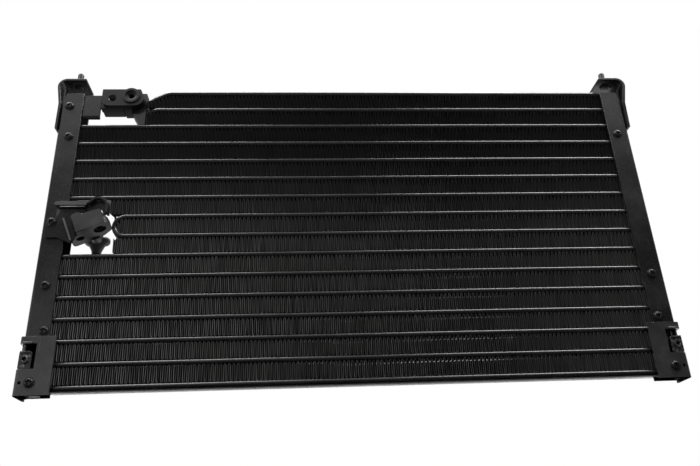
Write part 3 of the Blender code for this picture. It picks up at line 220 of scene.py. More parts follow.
def grey(value: float, warmth: float = 0.0) -> tuple[float, float, float, float]:
    """A grey of a linear lightness, with red raised and blue lowered by the warmth's share."""
    return (value * (1 + warmth), value, value * (1 - warmth), 1.0)


@dataclass(frozen=True)
class GlossPaint:
    """Black baked paint on sheet steel, machined blocks and tubes."""

    name: str
    tone: float
    roughness: float
    coat: float = 0.25
    peel: float = 0.10
    dust: float = 0.5
    painted_light_behind: float = 1.0
    painted_light_tone: float = 0.10
    ior: float = 1.5

    def material(self) -> Material:
        """The paint, with orange peel, cloudy gloss, rub marks and settled dust, and behind a given depth a lighter
        tone that is painted light.

        Returns:
            The material.
        """
        bench = ShaderBench(self.name)
        where = bench.place()
        cloud = bench.noise(where, 38.0, 3.0)
        peel = bench.noise(where, 950.0, 2.0)
        grain = bench.noise(where, 2600.0, 1.0)
        rubs = bench.noise(bench.stretched(where, (420.0, 260.0, 60.0)), 1.0, 3.0, 0.6)
        rub = rubs.above(0.62, 0.74) * 0.5
        specks = bench.noise(where, 1350.0, 0.0).above(0.745, 0.79)
        base = bench.blend(cloud.above(0.35, 0.75), grey(self.tone), grey(self.tone * 1.9, 0.02))
        _, depth, _ = bench.axes(where)
        # Painted light: behind the given depth the paint turns to a lighter tone, standing in for light on the outlet
        # joint.
        painted_light_mask = depth.above(self.painted_light_behind, self.painted_light_behind + 0.001)
        coat = bench.blend(painted_light_mask, base, grey(self.painted_light_tone, 0.01))
        rubbed = bench.blend(rub, coat, grey(self.tone * 3.0, 0.01))
        colour = bench.blend(specks * self.dust, rubbed, grey(0.16, 0.03))
        rough = cloud * 0.16 + grain * 0.06 + rub * 0.12 + specks * 0.3 + (self.roughness - 0.11)
        height = peel + grain * 0.35
        return bench.surface({"Base Color": colour, "Roughness": rough, "Coat Weight": self.coat,
                              "Coat Roughness": 0.18, "IOR": self.ior,
                              "Normal": bench.bump(height, 0.00012, self.peel)})


@dataclass(frozen=True)
class FinPaint:
    """Thin satin black paint on fin strips, with rows of louvres pressed into each leg."""

    name: str
    front: float
    back: float
    pitch: float
    middle: float
    louvre_pitch: float = 1.4 * MM
    tone: float = 0.006
    edge_tone: float = 0.36
    low_rows: float = 0.11
    high_rows: float = 0.27

    def material(self) -> Material:
        """The fin finish: louvre slits across the depth darkened as painted shade, front and back edges lighter with
        dust and a painted highlight, more so in the lower rows as painted light, and uneven gloss.

        Returns:
            The material.
        """
        bench = ShaderBench(self.name)
        where = bench.place()
        _, depth, height = bench.axes(where)
        cloud = bench.noise(where, 60.0, 2.0)
        grain = bench.noise(where, 1800.0, 2.0)
        wave = (depth * (2 * math.pi / self.louvre_pitch)).sine()
        level = ((height - self.middle).wrapped(self.pitch) - self.pitch / 2).absolute()
        in_leg = 1 - level.above(self.pitch * 0.24, self.pitch * 0.29)
        slit = wave.above(0.35, 0.9) * in_leg
        inward = (depth - self.front).above(0.0002, 0.0012) * (depth * -1 + self.back).above(0.0002, 0.0012)
        edge = 1 - inward
        folds = bench.noise(bench.stretched(where, (640.0, 0.0, 26.0)), 1.0, 1.0).above(0.34, 0.62)
        # Painted light: the edges are lighter in the lower rows and fade out upwards.
        lower = 1 - height.above(self.low_rows, self.high_rows) * 0.94
        # Painted shade: the louvre slits are darker than the rest of the leg.
        base = bench.blend(slit * 0.7, grey(self.tone), grey(self.tone * 0.35))
        # The front and back edges are lighter: partly settled dust, partly a painted highlight.
        dust_and_painted_light = bench.blend(edge * lower * (folds * 0.55 + cloud * 0.25 + 0.24), base, grey(self.edge_tone, 0.01))
        rough = grain * 0.2 + slit * 0.2 + 0.44
        normal = bench.bump(wave * in_leg * 0.5 + grain * 0.1, 0.00025, 0.6)
        return bench.surface({"Base Color": dust_and_painted_light, "Roughness": rough, "Normal": normal})


@dataclass(frozen=True)
class CoatedSteel:
    """Coated steel of screws, pins and clips, thinly worn to metal in places."""

    name: str
    tone: float
    bare: float
    wear: float
    roughness: float

    def material(self) -> Material:
        """The coating with bare glints.

        Returns:
            The material.
        """
        bench = ShaderBench(self.name)
        where = bench.place()
        cloud = bench.noise(where, 420.0, 3.0)
        grain = bench.noise(where, 2400.0, 2.0)
        worn = cloud.above(1 - self.wear, 1.15 - self.wear)
        colour = bench.blend(worn, grey(self.tone, 0.02), grey(self.bare, 0.015))
        return bench.surface({"Base Color": colour, "Metallic": worn * 0.9,
                              "Roughness": grain * 0.14 + (self.roughness - 0.07),
                              "Normal": bench.bump(grain + cloud, 0.00008, 0.25)})


@dataclass(frozen=True)
class PaleFloor:
    """A pale floor that is seen from above only, so the low camera looks up through it."""

    name: str = "pale_floor"
    tone: float = 0.80
    bounce: float = 0.05
    front: float = 0.15
    right: float = 0.60
    behind: float = 0.8

    def material(self) -> Material:
        """A matt floor whose underside is clear.

        Returns:
            The material.
        """
        bench = ShaderBench(self.name)
        where = bench.place()
        across, deep, _ = bench.axes(where)
        cloud = bench.noise(where, 3.0, 2.0)
        pale = bench.blend(cloud, grey(self.tone), grey(self.tone * 0.985, 0.004))
        seen = bench.node("ShaderNodeLightPath", {}, {}, "Is Camera Ray")
        ahead = bench.blend((deep * -1).above(0.12, 0.5), grey(self.bounce), grey(self.front))
        far = bench.blend(across.above(0.0, 0.5) * deep.above(0.0, 0.5), ahead, grey(self.right))
        near_back = deep.above(0.0, 0.05) * (1 - deep.above(0.2, 0.36))
        lit = bench.blend(near_back, far, grey(self.behind))
        colour = bench.blend(seen, lit, pale)
        matt = bench.node("ShaderNodeBsdfDiffuse", {}, {"Color": colour})
        clear = bench.node("ShaderNodeBsdfTransparent", {}, {})
        under = bench.node("ShaderNodeNewGeometry", {}, {}, "Backfacing")
        mixed = bench.node("ShaderNodeMixShader", {}, {0: under, 1: matt, 2: clear})
        bench.close(mixed)
        return bench.material


class Finishes:
    """Every finish of the condenser, made once."""

    def __init__(self, fin: FinPaint) -> None:
        """Make the materials.

        Args:
            fin: the finish of the fin strips, fitted to their places.
        """
        self.sheet = GlossPaint("painted_sheet", tone=0.0125, roughness=0.25).material()
        self.tube = GlossPaint("painted_tube", tone=0.013, roughness=0.23, coat=0.3, peel=0.07, dust=0.35).material()
        # Painted light: behind 8.5 mm the block's paint is lighter, standing in for light on the outlet joint.
        self.block = GlossPaint("painted_block", tone=0.015, roughness=0.46, coat=0.1, peel=0.2, dust=0.4,
                                painted_light_behind=8.5 * MM).material()
        self.pad = GlossPaint("painted_pad", tone=0.009, roughness=0.42, coat=0.02, peel=0.2, dust=0.3,
                              ior=1.41).material()
        # Painted light: a lighter copy of the sheet paint for the bottom brackets, standing in for the light they
        # catch.
        self.plate = GlossPaint("lit_plate_paint", tone=0.034, roughness=0.25).material()
        self.fin = fin.material()
        self.screw = CoatedSteel("coated_screw", tone=0.015, bare=0.38, wear=0.38, roughness=0.25).material()
        self.pin = CoatedSteel("coated_pin", tone=0.022, bare=0.25, wear=0.30, roughness=0.48).material()
        self.clip = CoatedSteel("phosphated_clip", tone=0.045, bare=0.45, wear=0.45, roughness=0.34).material()


def as_piece(mesh: Mesh, material: Material, stands_for: Sequence[str], smooth: float) -> Object:
    """Make a mesh a piece of the condenser, named as the mesh is.

    Args:
        mesh: the mesh.
        material: its finish.
        stands_for: the CAD nodes that it replaces.
        smooth: angle below which an edge is shaded smooth, in degrees.

    Returns:
        The new object.
    """
    mesh.shade_smooth()
    mesh.set_sharp_from_angle(angle=math.radians(smooth))
    mesh.materials.append(material)
    piece = bpy.data.objects.new(mesh.name, mesh)
    bpy.context.scene.collection.objects.link(piece)
    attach(piece, BODY)
    if stands_for:
        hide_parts(*stands_for)
    LOG.info("%s: %d faces", mesh.name, len(mesh.polygons))
    return piece


def round_edges(piece: Object, width: float, sharpest: float) -> None:
    """Round a piece's edges with a bevel of two segments.

    Args:
        piece: the piece.
        width: the bevel's width.
        sharpest: the angle above which an edge is rounded, in degrees.
    """
    bevel = piece.modifiers.new("edge", "BEVEL")
    bevel.width = width
    bevel.segments = 2
    bevel.limit_method = "ANGLE"
    bevel.angle_limit = math.radians(sharpest)


def ring_faces(rings: int, around: int) -> list[list[int]]:
    """Quads between neighbouring closed rings of vertices.

    Args:
        rings: how many rings there are.
        around: vertices in a ring.

    Returns:
        The faces.
    """
    first = np.arange(rings - 1)[:, None] * around
    side = np.arange(around)
    following = (side + 1) % around
    quads = np.stack([first + side, first + following, first + around + following, first + around + side], -1)
    return quads.reshape(-1, 4).tolist()


def capped(rings: int, around: int) -> list[list[int]]:
    """The faces of a swept shape, with both end rings closed too."""
    last = (rings - 1) * around
    return ring_faces(rings, around) + [list(range(around))[::-1], list(range(last, last + around))]


def add_piece(name: str, points: Array, material: Material, stands_for: Sequence[str],
              smooth: float, faces: list[list[int]] | None = None) -> Object:
    """Put a worked-out surface into the scene as a piece of the condenser.

    Args:
        name: the piece's name.
        points: its vertices in rings, or in one row.
        material: its finish.
        stands_for: the CAD nodes that it replaces.
        smooth: angle below which an edge is shaded smooth, in degrees.
        faces: vertex numbers per face, where they aren't those of a closed sweep.

    Returns:
        The new object.
    """
    mesh = bpy.data.meshes.new(name)
    mesh.from_pydata(points.reshape(-1, 3).tolist(), [], faces or capped(*points.shape[:2]))
    mesh.update()
    return as_piece(mesh, material, stands_for, smooth)


def broken_edges(node: str, width: float, material: Material, form: str = "sheet",
                 reshape: Callable[[Array], Array] | None = None, extra: Sequence["Slab"] = ()) -> None:
    """A copy of a CAD node whose sharp edges are rounded a little, as on pressed or machined parts.

    Args:
        node: the CAD node.
        width: the edge's radius.
        material: its finish.
        form: the last word of the piece's name.
        reshape: what moves the copy's vertices, if anything does.
        extra: slabs that belong to the same sheet.
    """
    bm = bmesh.new()
    bm.from_mesh(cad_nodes()[node].data)
    bmesh.ops.remove_doubles(bm, verts=bm.verts, dist=2e-6)
    bmesh.ops.dissolve_limit(bm, angle_limit=math.radians(0.6), verts=bm.verts, edges=bm.edges)
    for slab in extra:
        slab.add_to(bm)
    mesh = bpy.data.meshes.new(f"{node}_{form}")
    bm.to_mesh(mesh)
    bm.free()
    if reshape is not None:
        spots = np.empty(len(mesh.vertices) * 3, dtype=np.float32)
        mesh.vertices.foreach_get("co", spots)
        mesh.vertices.foreach_set("co", reshape(spots.reshape(-1, 3)).reshape(-1))
        mesh.update()
    mesh.materials.clear()
    round_edges(as_piece(mesh, material, [node], smooth=32), width, sharpest=38)


@dataclass(frozen=True)
class Slab:
    """A flat slab: an outline in x and z, from one depth to another."""

    outline: tuple[Pair, ...]
    front: float
    back: float

    def add_to(self, bm: bmesh.types.BMesh) -> None:
        """Add the slab's faces to a mesh.

        Args:
            bm: the mesh.
        """
        near = [bm.verts.new((x, self.front, z)) for x, z in self.outline]
        far = [bm.verts.new((x, self.back, z)) for x, z in self.outline]
        faces = [bm.faces.new(near), bm.faces.new(far[::-1])]
        for index in range(len(near)):
            after = (index + 1) % len(near)
            faces.append(bm.faces.new((near[index], far[index], far[after], near[after])))
        bmesh.ops.recalc_face_normals(bm, faces=faces)


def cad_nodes() -> dict[str, Object]:
    """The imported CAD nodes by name."""
    return FRAME["nodes"]


def grid(x: Array, y: Array, z: Array) -> Array:
    """Points from their x, y and z, spread to one shape."""
    return np.stack(np.broadcast_arrays(x, y, z), -1)


def unit(vector: Array) -> Array:
    """The vector brought to length one."""
    return vector / np.linalg.norm(vector)


def turned_surface(radii: Array, along: Array, around: int) -> Array:
    """A profile turned about the z axis: x = r cos t, y = r sin t, z = the profile's own height."""
    turn = np.linspace(0, 2 * math.pi, around, endpoint=False)
    return grid(radii[:, None] * np.cos(turn), radii[:, None] * np.sin(turn), along[:, None])


def round_corners(corners: list[Triple], steps: int) -> Array:
    """Each corner becomes an arc: centre + radius (n1 sin((1-t)a) + n2 sin(t a)) / sin a.

    Args:
        corners: x, z and radius of each corner.
        steps: how many parts each arc has.

    Returns:
        Points of x and z.
    """
    line = [np.array([corners[0][:2]])]
    share = np.linspace(0, 1, steps + 1)[:, None]
    for before, corner, after in zip(corners, corners[1:], corners[2:]):
        here = np.array(corner[:2])
        back, ahead = unit(np.array(before[:2]) - here), unit(np.array(after[:2]) - here)
        half = math.acos(float(np.clip(back @ ahead, -1, 1))) / 2
        centre = here + unit(back + ahead) * (corner[2] / math.sin(half))
        reach = corner[2] / math.tan(half)
        start, end = here + back * reach - centre, here + ahead * reach - centre
        sweep = math.pi - 2 * half
        arc = (start * np.sin((1 - share) * sweep) + end * np.sin(share * sweep)) / math.sin(sweep)
        line.append(centre + arc)
    line.append(np.array([corners[-1][:2]]))
    return np.concatenate(line)


def side_normals(line: Array) -> Array:
    """Unit normals of a line in x and z: its tangent, turned a quarter.

    Args:
        line: points of x and z.

    Returns:
        One normal per point.
    """
    tangent = np.gradient(line, axis=0)
    tangent /= np.linalg.norm(tangent, axis=1)[:, None]
    return np.stack([-tangent[:, 1], tangent[:, 0]], -1)


@dataclass
class FlatTubes:
    """The two flat tubes, swept along their serpentine centre lines."""

    finish: Material
    pitch: float
    top_run: float
    depth: Pair
    thickness: float = 4.8 * MM
    runs: int = 16
    bay_run: int = 8
    nearly_round: float = 0.999
    shortest: float = 1e-7
    outer_radius: float = 9.0 * MM
    bend_gap: float = 0.6 * MM
    end_depth: float = 12.0 * MM
    end_taper: float = 12.0 * MM
    end_straight: float = 3.3 * MM
    end_shares: Floats = (0.0, 0.33, 0.66, 1.0)
    end_limit: float = 0.98
    end_insert: float = 2.7 * MM
    first_drop: float = 8.0 * MM
    rise: Pair = (8.7 * MM, 25.7 * MM)
    rise_radius: float = 16.0 * MM
    nose_steps: int = 9
    bend_steps: int = 14

    def run_height(self, run: int) -> float:
        """Height of a run's centre line, counted from the top."""
        return self.top_run - (run - 1) * self.pitch

    def centre_line(self, first: int, reach: Pair, starts: Pair, bay: float,
                    drop: float) -> Array:
        """The centre line in x and z: straight runs joined by circular bends, one or three pitches high.

        Args:
            first: the run that the circuit starts with.
            reach: the outer and inner bends' distance from the middle.
            starts: x of the two ends.
            bay: x of the bend beside the outlet bay.
            drop: how far below its run the first end lies.

        Returns:
            Points of x and z.
        """
        corners: list[Triple] = [(starts[0], self.run_height(first) - drop, 0.0)]
        if drop:
            corners.append((starts[0] + self.rise[0], self.run_height(first) - drop, self.rise_radius))
            corners.append((starts[0] + self.rise[1], self.run_height(first), self.rise_radius))
        run, stride, side = first, 3 if first == 1 else 1, 1.0
        while run + stride <= self.runs:
            short = stride == 1
            edge = reach[1] if short else reach[0]
            radius = self.pitch / 2 * self.nearly_round if short else self.outer_radius
            if short and side < 0 and run == self.bay_run:
                edge = -bay
            for level in (run, run + stride):
                corners.append((side * edge, self.run_height(level), radius))
            run, stride, side = run + stride, 4 - stride, -side
        corners.append((starts[1], self.run_height(run), 0.0))
        return round_corners(corners, self.bend_steps)

    def with_ends(self, line: Array) -> Array:
        """The line with extra points where the narrowed ends begin and widen.

        Args:
            line: the centre line in x and z.

        Returns:
            The longer line.
        """
        extra = (self.end_straight + self.end_taper * np.array(self.end_shares))[:, None]
        first, last = unit(line[1] - line[0]), unit(line[-2] - line[-1])
        short = extra[extra[:, 0] < np.linalg.norm(line[1] - line[0]) * self.end_limit]
        return np.concatenate([line[:1], line[0] + first * short, line[1:-1], (line[-1] + last * extra)[::-1],
                               line[-1:]])

    def swept(self, name: str, node: str, line: Array) -> None:
        """A stadium section, two straight sides and two half-round noses, carried along the line.

        Args:
            name: the piece's name.
            node: the CAD node that it replaces.
            line: the centre line in x and z.
        """
        line = self.with_ends(line)
        steps = np.linalg.norm(np.diff(line, axis=0), axis=1)
        line = line[np.append(True, steps > self.shortest)]
        normal = side_normals(line)
        travelled = np.concatenate([[0], np.cumsum(np.linalg.norm(np.diff(line, axis=0), axis=1))])
        from_end = np.minimum(travelled, travelled[-1] - travelled)
        share = np.clip((from_end - self.end_straight) / self.end_taper, 0, 1)
        share = share * share * (3 - 2 * share)
        full = self.depth[1] - self.depth[0]
        half_depth = (self.end_depth + (full - self.end_depth) * share) / 2
        nose = self.thickness / 2
        angle = np.linspace(-math.pi / 2, math.pi / 2, self.nose_steps)
        out = np.concatenate([np.cos(angle), -np.cos(angle)])
        up = np.concatenate([np.sin(angle), -np.sin(angle)]) * nose
        base = np.concatenate([np.ones(self.nose_steps), -np.ones(self.nose_steps)])
        across = (half_depth - nose)[:, None] * base + nose * out
        middle = (self.depth[0] + self.depth[1]) / 2
        points = grid(line[:, :1] + normal[:, :1] * up, middle + across, line[:, 1:] + normal[:, 1:] * up)
        add_piece(name, points, self.finish, [node], smooth=60.0)

    def build(self) -> None:
        """Make both circuits in the places of their CAD nodes."""
        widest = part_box("outer_circuit_tube")[1].x
        starts = (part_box("inlet_header")[1].x - self.end_insert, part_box("outlet_header")[1].x - self.end_insert)
        reach = (widest - self.thickness / 2, widest - 1.5 * self.thickness - self.bend_gap)
        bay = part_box("fin_row_09")[0].x
        for first, drop, circuit in ((1, self.first_drop, "outer"), (2, 0.0, "inner")):
            line = self.centre_line(first, reach, starts, bay, drop)
            self.swept(f"{circuit}_serpentine_tube", f"{circuit}_circuit_tube", line)


@dataclass
class FinPack:
    """The corrugated fin strips, at their real pitch."""

    finish: Material
    leg: float = 1.93 * MM
    sheet: float = 0.13 * MM
    jitter: float = 0.16 * MM
    bow: float = 2.3 * MM
    louvres: int = 6
    louvre_reach: float = 0.5 * MM
    louvre_half: float = 1.3 * MM
    louvre_span: Pair = (0.1, 0.9)
    ramp: Pair = (6.0 * MM, 23.0 * MM)
    ramp_drop: float = 8.0 * MM
    ramp_shift: float = 0.8 * MM
    ramp_end: float = 1.2
    ramp_gap: float = 0.4 * MM
    bend_radius: float = 8.0 * MM
    inside_bend: float = 2.1 * MM
    bend_start: float = 7.6 * MM
    behind_flange: float = 4.4 * MM
    full_width: float = 270.0 * MM
    rows: int = 15
    bay_row: int = 8
    evened: int = 5
    crest: Floats = (0.0, 0.27, 0.43, 0.57, 0.73)
    swing: Floats = (1.0, 0.985, 0.84, -0.84, -0.985)

    def limits(self, row: int, x: Array, low: Vector, high: Vector) -> tuple[Array, Array]:
        """Lower and upper end of a strip; beside a bent tube they follow its inner side.

        Args:
            row: the strip's row.
            x: where along the strip.
            low: the strip's lower corner.
            high: its upper corner.

        Returns:
            The two heights.
        """
        bottom, top = np.full_like(x, low.z), np.full_like(x, high.z)
        if row == 1:
            share = (x - low.x + self.ramp_shift - self.ramp[0]) / (self.ramp[1] - self.ramp[0])
            top -= self.ramp_drop * (1 - np.clip(share, 0, 1)) + self.ramp_gap * (share < self.ramp_end)
        if row == self.bay_row:
            middle = (low.z + high.z) / 2
            ahead = np.clip(low.x + self.bend_start - x, 0, self.bend_radius)
            half = np.sqrt(self.bend_radius ** 2 - ahead ** 2)
            inside = ahead > 0
            bottom, top = np.where(inside, middle - half, bottom), np.where(inside, middle + half, top)
        return bottom, top

    def bowed(self, share: Array) -> Array:
        """Sideways shift of a leg at a share of its depth, greatest halfway through."""
        return self.bow * (1 - np.abs(2 * share - 1))

    def louvre_quads(self, start: Array, end: Array, low: Vector, high: Vector) -> Array:
        """Louvres: flat slats that cross each leg at a slant, one way in front and the other behind.

        Args:
            start: x and z of each leg's start.
            end: x and z of each leg's end.
            low: the strip's lower corner.
            high: its upper corner.

        Returns:
            Four points for each louvre.
        """
        share = (np.arange(self.louvres) + 0.5) / self.louvres
        depth = low.y + share * (high.y - low.y)
        slant = np.where(share < 0.5, 1.0, -1.0)
        first, last = self.louvre_span
        ends = np.array([[first, -1], [first, 1], [last, 1], [last, -1]])
        level, side = ends[:, 0], ends[:, 1]
        spot = start[:, None, None] * (1 - level)[:, None] + end[:, None, None] * level[:, None]
        across = self.bowed(share)[:, None] + slant[:, None] * side * self.louvre_reach
        points = grid(np.clip(spot[..., 0] + across, low.x, high.x), depth[:, None] + side * self.louvre_half,
                      spot[..., 1])
        return points.reshape(-1, 3)

    def strip(self, row: int, seed: np.random.Generator) -> None:
        """One strip: a triangle wave with rounded crests, x = start + leg t, z = middle + height wave(t).

        Args:
            row: the row's number from the top.
            seed: the source of the folds' unevenness.
        """
        node = f"fin_row_{row:02d}"
        low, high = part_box(node)
        if row == self.bay_row:
            low = low - Vector((self.inside_bend, 0, 0))
        if low.x < -self.full_width and row < self.rows:
            low = low - Vector((self.behind_flange, 0, 0))
        high = high + Vector((self.behind_flange, 0, 0))
        legs = max(int(round((high.x - low.x) / self.leg)), 2)
        step = (high.x - low.x) / legs
        spare = self.evened - 1
        slack = np.convolve(seed.normal(0, 1, legs + 1 + 2 * spare), np.ones(self.evened) / self.evened, "same")
        slack = slack[spare:spare + legs + 1] * self.jitter
        slack[[0, -1]] = 0
        crest_x = low.x + np.arange(legs + 1) * step + slack
        crest_x[-1] = high.x
        share = np.array(self.crest)
        sign = np.where(np.arange(legs) % 2 == 0, 1.0, -1.0)
        x = crest_x[:-1, None] * (1 - share) + crest_x[1:, None] * share
        z = sign[:, None] * np.array(self.swing)
        x = np.append(x.reshape(-1), crest_x[-1])
        z = np.append(z.reshape(-1), 1.0 if legs % 2 == 0 else -1.0)
        bottom, top = self.limits(row, x, low, high)
        z = (top + bottom) / 2 + z * ((top - bottom) / 2 - self.sheet / 2)
        line = np.stack([x, z], -1)
        normal = side_normals(line) * (self.sheet / 2)
        one, other = line + normal, line - normal
        shares = np.array([0.0, 0.5, 1.0, 1.0, 0.5, 0.0])
        sides = np.stack([one, one, one, other, other, other], 1)
        points = grid(np.clip(sides[:, :, 0] + self.bowed(shares), low.x, high.x),
                      low.y + shares * (high.y - low.y), sides[:, :, 1])
        each = len(self.crest)
        slats = self.louvre_quads(line[2:-1:each], line[3:-1:each], low, high)
        quads = np.arange(len(slats)).reshape(-1, 4) + sides.shape[0] * sides.shape[1]
        faces = capped(*sides.shape[:2]) + quads.tolist()
        points = np.concatenate([points.reshape(-1, 3), slats])
        add_piece(f"fin_strip_{row:02d}", points, self.finish, [node], 25.0, faces)

    def build(self) -> None:
        """Make every strip."""
        seed = np.random.default_rng(SEED)
        for row in range(1, self.rows + 1):
            self.strip(row, seed)


@dataclass
class SheetParts:
    """Folded steel: channels, brackets, the strap and the clips."""

    finish: Material
    # The bottom brackets' paint, lighter than the sheet paint as painted light.
    lit_plate_finish: Material
    clip_finish: Material
    edge: float = 0.55 * MM
    plates: Names = ("bottom_left_bracket", "bottom_right_bracket")
    straps: Names = ("outlet_strap",)
    nuts: Names = ("bottom_left_clip_nut", "bottom_right_clip_nut")
    clips: Names = ("pipe_clip",)
    slope_height: float = 17.5 * MM
    slope_width: float = 6.0 * MM
    top_drop: Pair = (4.0 * MM, 1.8 * MM)
    sheet: float = 1.5 * MM
    wall_rise: float = 5.0 * MM
    skin: float = 0.02 * MM
    touch: float = 0.1 * MM
    lip_depth: float = 3.5 * MM
    lip_rise: float = 2.0 * MM
    tongue_sheet: float = 2.0 * MM
    folded: float = 2.3 * MM
    bar_slope: float = 0.13
    bar_foot: float = 182.9 * MM
    bar_end: float = -262.2 * MM
    rib: Pair = (180.4 * MM, 182.3 * MM)
    rib_foot: float = 180.8 * MM
    rib_slope: float = 0.18
    lip_top: float = 179.0 * MM
    lip_spot: Pair = (-283.9 * MM, 169.5 * MM)
    lip_way: Pair = (0.9266, 0.3745)
    lip_width: float = 1.7 * MM
    lip_slope: float = 0.65
    tongue: tuple[Pair, ...] = ((-264.0, 183.9), (-259.7, 183.9), (-254.5, 189.3), (-244.2, 189.3),
                                               (-244.2, 174.2), (-246.3, 174.2), (-248.7, 180.1), (-264.0, 176.7))

    def channel(self, side: float, drop: float) -> None:
        """A channel whose front flange alone has the sloped corner: its side wall goes up to the top.

        Args:
            side: -1 for the left one, 1 for the right one.
            drop: how far its upper end lies below the solid's.
        """
        node = "left_side_channel" if side < 0 else "right_side_channel"
        low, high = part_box(node)
        outer = low.x if side < 0 else high.x
        floor = high.z - self.slope_height

        def upright(width: float, top: float, front: float, back: float) -> Slab:
            """A slab that stands on the slope's foot, inwards from the channel's outer side."""
            inner = outer - side * width
            return Slab(((outer, floor), (outer, top), (inner, top), (inner, floor)), front, back)

        seam = high.y - self.sheet
        wall = upright(self.sheet, high.z + drop + self.wall_rise, low.y + self.sheet, seam)
        flange = upright(self.slope_width, high.z, seam, high.y - self.skin)

        def lowered(spots: Array) -> Array:
            """The upper end moves down: z less the drop above the slope's foot."""
            spots[:, 2] -= drop * (spots[:, 2] > floor - self.touch)
            return spots

        broken_edges(node, self.edge, self.finish, reshape=lowered, extra=[wall, flange])

    def inlet_angle(self) -> None:
        """The inlet bracket, with a narrow lip and a higher top."""
        low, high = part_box("inlet_bracket")

        def narrowed(spots: Array) -> Array:
            """The lip's end comes forward, and the top edge goes up.

            Args:
                spots: the vertices.

            Returns:
                The moved vertices.
            """
            spots[:, 1] = np.minimum(spots[:, 1], low.y + self.lip_depth)
            spots[:, 2] += self.lip_rise * (spots[:, 2] > high.z - self.touch)
            return spots

        broken_edges("inlet_bracket", self.edge, self.finish, reshape=narrowed)

    def outlet_plate(self) -> None:
        """The outlet bracket: its bar leans back, y rising with height, and a tongue fills the strap's loop."""
        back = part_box("outlet_bracket")[1].y
        outline = tuple((x * MM, z * MM) for x, z in self.tongue)
        tongue = Slab(outline, back - self.tongue_sheet, back)

        def leaning(spots: Array) -> Array:
            """The bar's and the rib's fronts lean back with height, and the lip's front with distance from its line.

            Args:
                spots: the vertices.

            Returns:
                The moved vertices.
            """
            front = spots[:, 1] < back - self.folded
            left = front & (spots[:, 0] < self.bar_end)
            bar = left & (spots[:, 2] > self.bar_foot)
            spots[:, 1] += bar * (spots[:, 2] - self.bar_foot) * self.bar_slope
            rib = left & (spots[:, 2] > self.rib[0]) & (spots[:, 2] < self.rib[1])
            spots[:, 1] += rib * (spots[:, 2] - self.rib_foot) * self.rib_slope
            beside = (spots[:, [0, 2]] - self.lip_spot) @ np.array(self.lip_way)
            lip = front & (spots[:, 2] < self.lip_top)
            spots[:, 1] += lip * np.clip(beside, 0, self.lip_width) * self.lip_slope
            return spots

        broken_edges("outlet_bracket", self.edge * 1.1, self.finish, reshape=leaning, extra=[tongue])

    def build(self) -> None:
        """Make every folded part."""
        for side, drop in zip((-1.0, 1.0), self.top_drop):
            self.channel(side, drop)
        self.inlet_angle()
        self.outlet_plate()
        for nodes, share, slot, finish in ((self.plates, 1, Slot.PAINT, self.lit_plate_finish),
                                           (self.straps, 1, Slot.PAINT, self.finish),
                                           (self.nuts, 2, Slot.SCREW, self.clip_finish),
                                           (self.clips, 3, Slot.ZINC, self.clip_finish)):
            for node in nodes:
                broken_edges(node, self.edge / share, finish)


@dataclass
class TopBrackets:
    """The two upper brackets: sheet straps that lean out from the channels and turn over the top."""

    finish: Material
    top_run: float
    half: float = 304.0 * MM
    sheet: float = 2.0 * MM
    gap: float = 0.3 * MM
    edge: float = 0.35 * MM
    foot: float = -46.4 * MM
    lean_start: float = -15.0 * MM
    lean: float = 5.0 * MM
    band: float = 1.6 * MM
    flange: float = 14.6 * MM
    reach: float = 22.5 * MM
    bend: float = 8.0 * MM
    bend_steps: int = 10
    forward: Pair = (0.0, 4.0 * MM)
    taper: float = 28.0 * MM
    deeper: Pair = (3.0 * MM, 1.5 * MM)
    deeper_from: float = 2.0 * MM

    def bracket(self, side: float, forward: float, deeper: float) -> None:
        """A strap's middle line in x and z, offset by half the sheet to both sides and carried along y.

        Args:
            side: -1 for the left one, 1 for the right one.
            forward: how far its flange stands forward.
            deeper: how much further back the flange reaches than the leg.
        """
        node = "top_left_bracket" if side < 0 else "top_right_bracket"
        low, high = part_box(node)
        middle = self.half + self.gap + self.sheet / 2
        corners = [(middle, self.foot, 0.0), (middle, self.lean_start, self.bend),
                   (middle + self.lean, self.flange, self.bend), (self.half - self.reach, self.flange, 0.0)]
        line = round_corners([(side * x, self.top_run + z, radius) for x, z, radius in corners], self.bend_steps)
        normal = side_normals(line) * -side
        height = line[:, 1] - self.top_run
        front = low.y + forward * (1 - np.clip((height + self.taper) / self.taper, 0, 1))
        back = high.y + deeper * np.clip((height - self.deeper_from) / self.bend, 0, 1)
        way = np.array([self.band, self.band, -self.sheet / 2, -self.sheet / 2])
        depth = np.stack([front, back, back, front], 1)
        points = grid(line[:, :1] + way * normal[:, :1], depth, line[:, 1:] + way * normal[:, 1:])
        if side > 0:
            points = points[:, ::-1]
        piece = add_piece(f"{node}_strap", points, self.finish, [node], smooth=32.0)
        round_edges(piece, self.edge, sharpest=50)

    def build(self) -> None:
        """Make both brackets."""
        for side, forward, deeper in zip((-1.0, 1.0), self.forward, self.deeper):
            self.bracket(side, forward, deeper)


@dataclass
class Fittings:
    """Headers, connection blocks and the pipe."""

    finish: Material
    pad_finish: Material
    tube_finish: Material
    edge: float = 0.5 * MM
    slope: float = 0.05
    face_depth: float = 1.2 * MM
    headers: Names = ("inlet_header", "outlet_header")

    def build(self) -> None:
        """Break the edges of the blocks and dress the pipe."""
        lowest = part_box("outlet_block")[0]

        def leaning(spots: Array) -> Array:
            """The face leans back by its slope, as the brazed block does.

            Args:
                spots: the vertices.

            Returns:
                The moved vertices.
            """
            face = spots[:, 1] < lowest.y + self.face_depth
            spots[:, 1] += face * (spots[:, 2] - lowest.z) * self.slope
            return spots

        broken_edges("inlet_block", self.edge, self.pad_finish, "forging")
        broken_edges("outlet_block", self.edge, self.finish, "forging", reshape=leaning)
        for node in self.headers:
            broken_edges(node, self.edge, self.tube_finish, "body")
        broken_edges("outlet_pipe", self.edge / 2, self.tube_finish, "run")


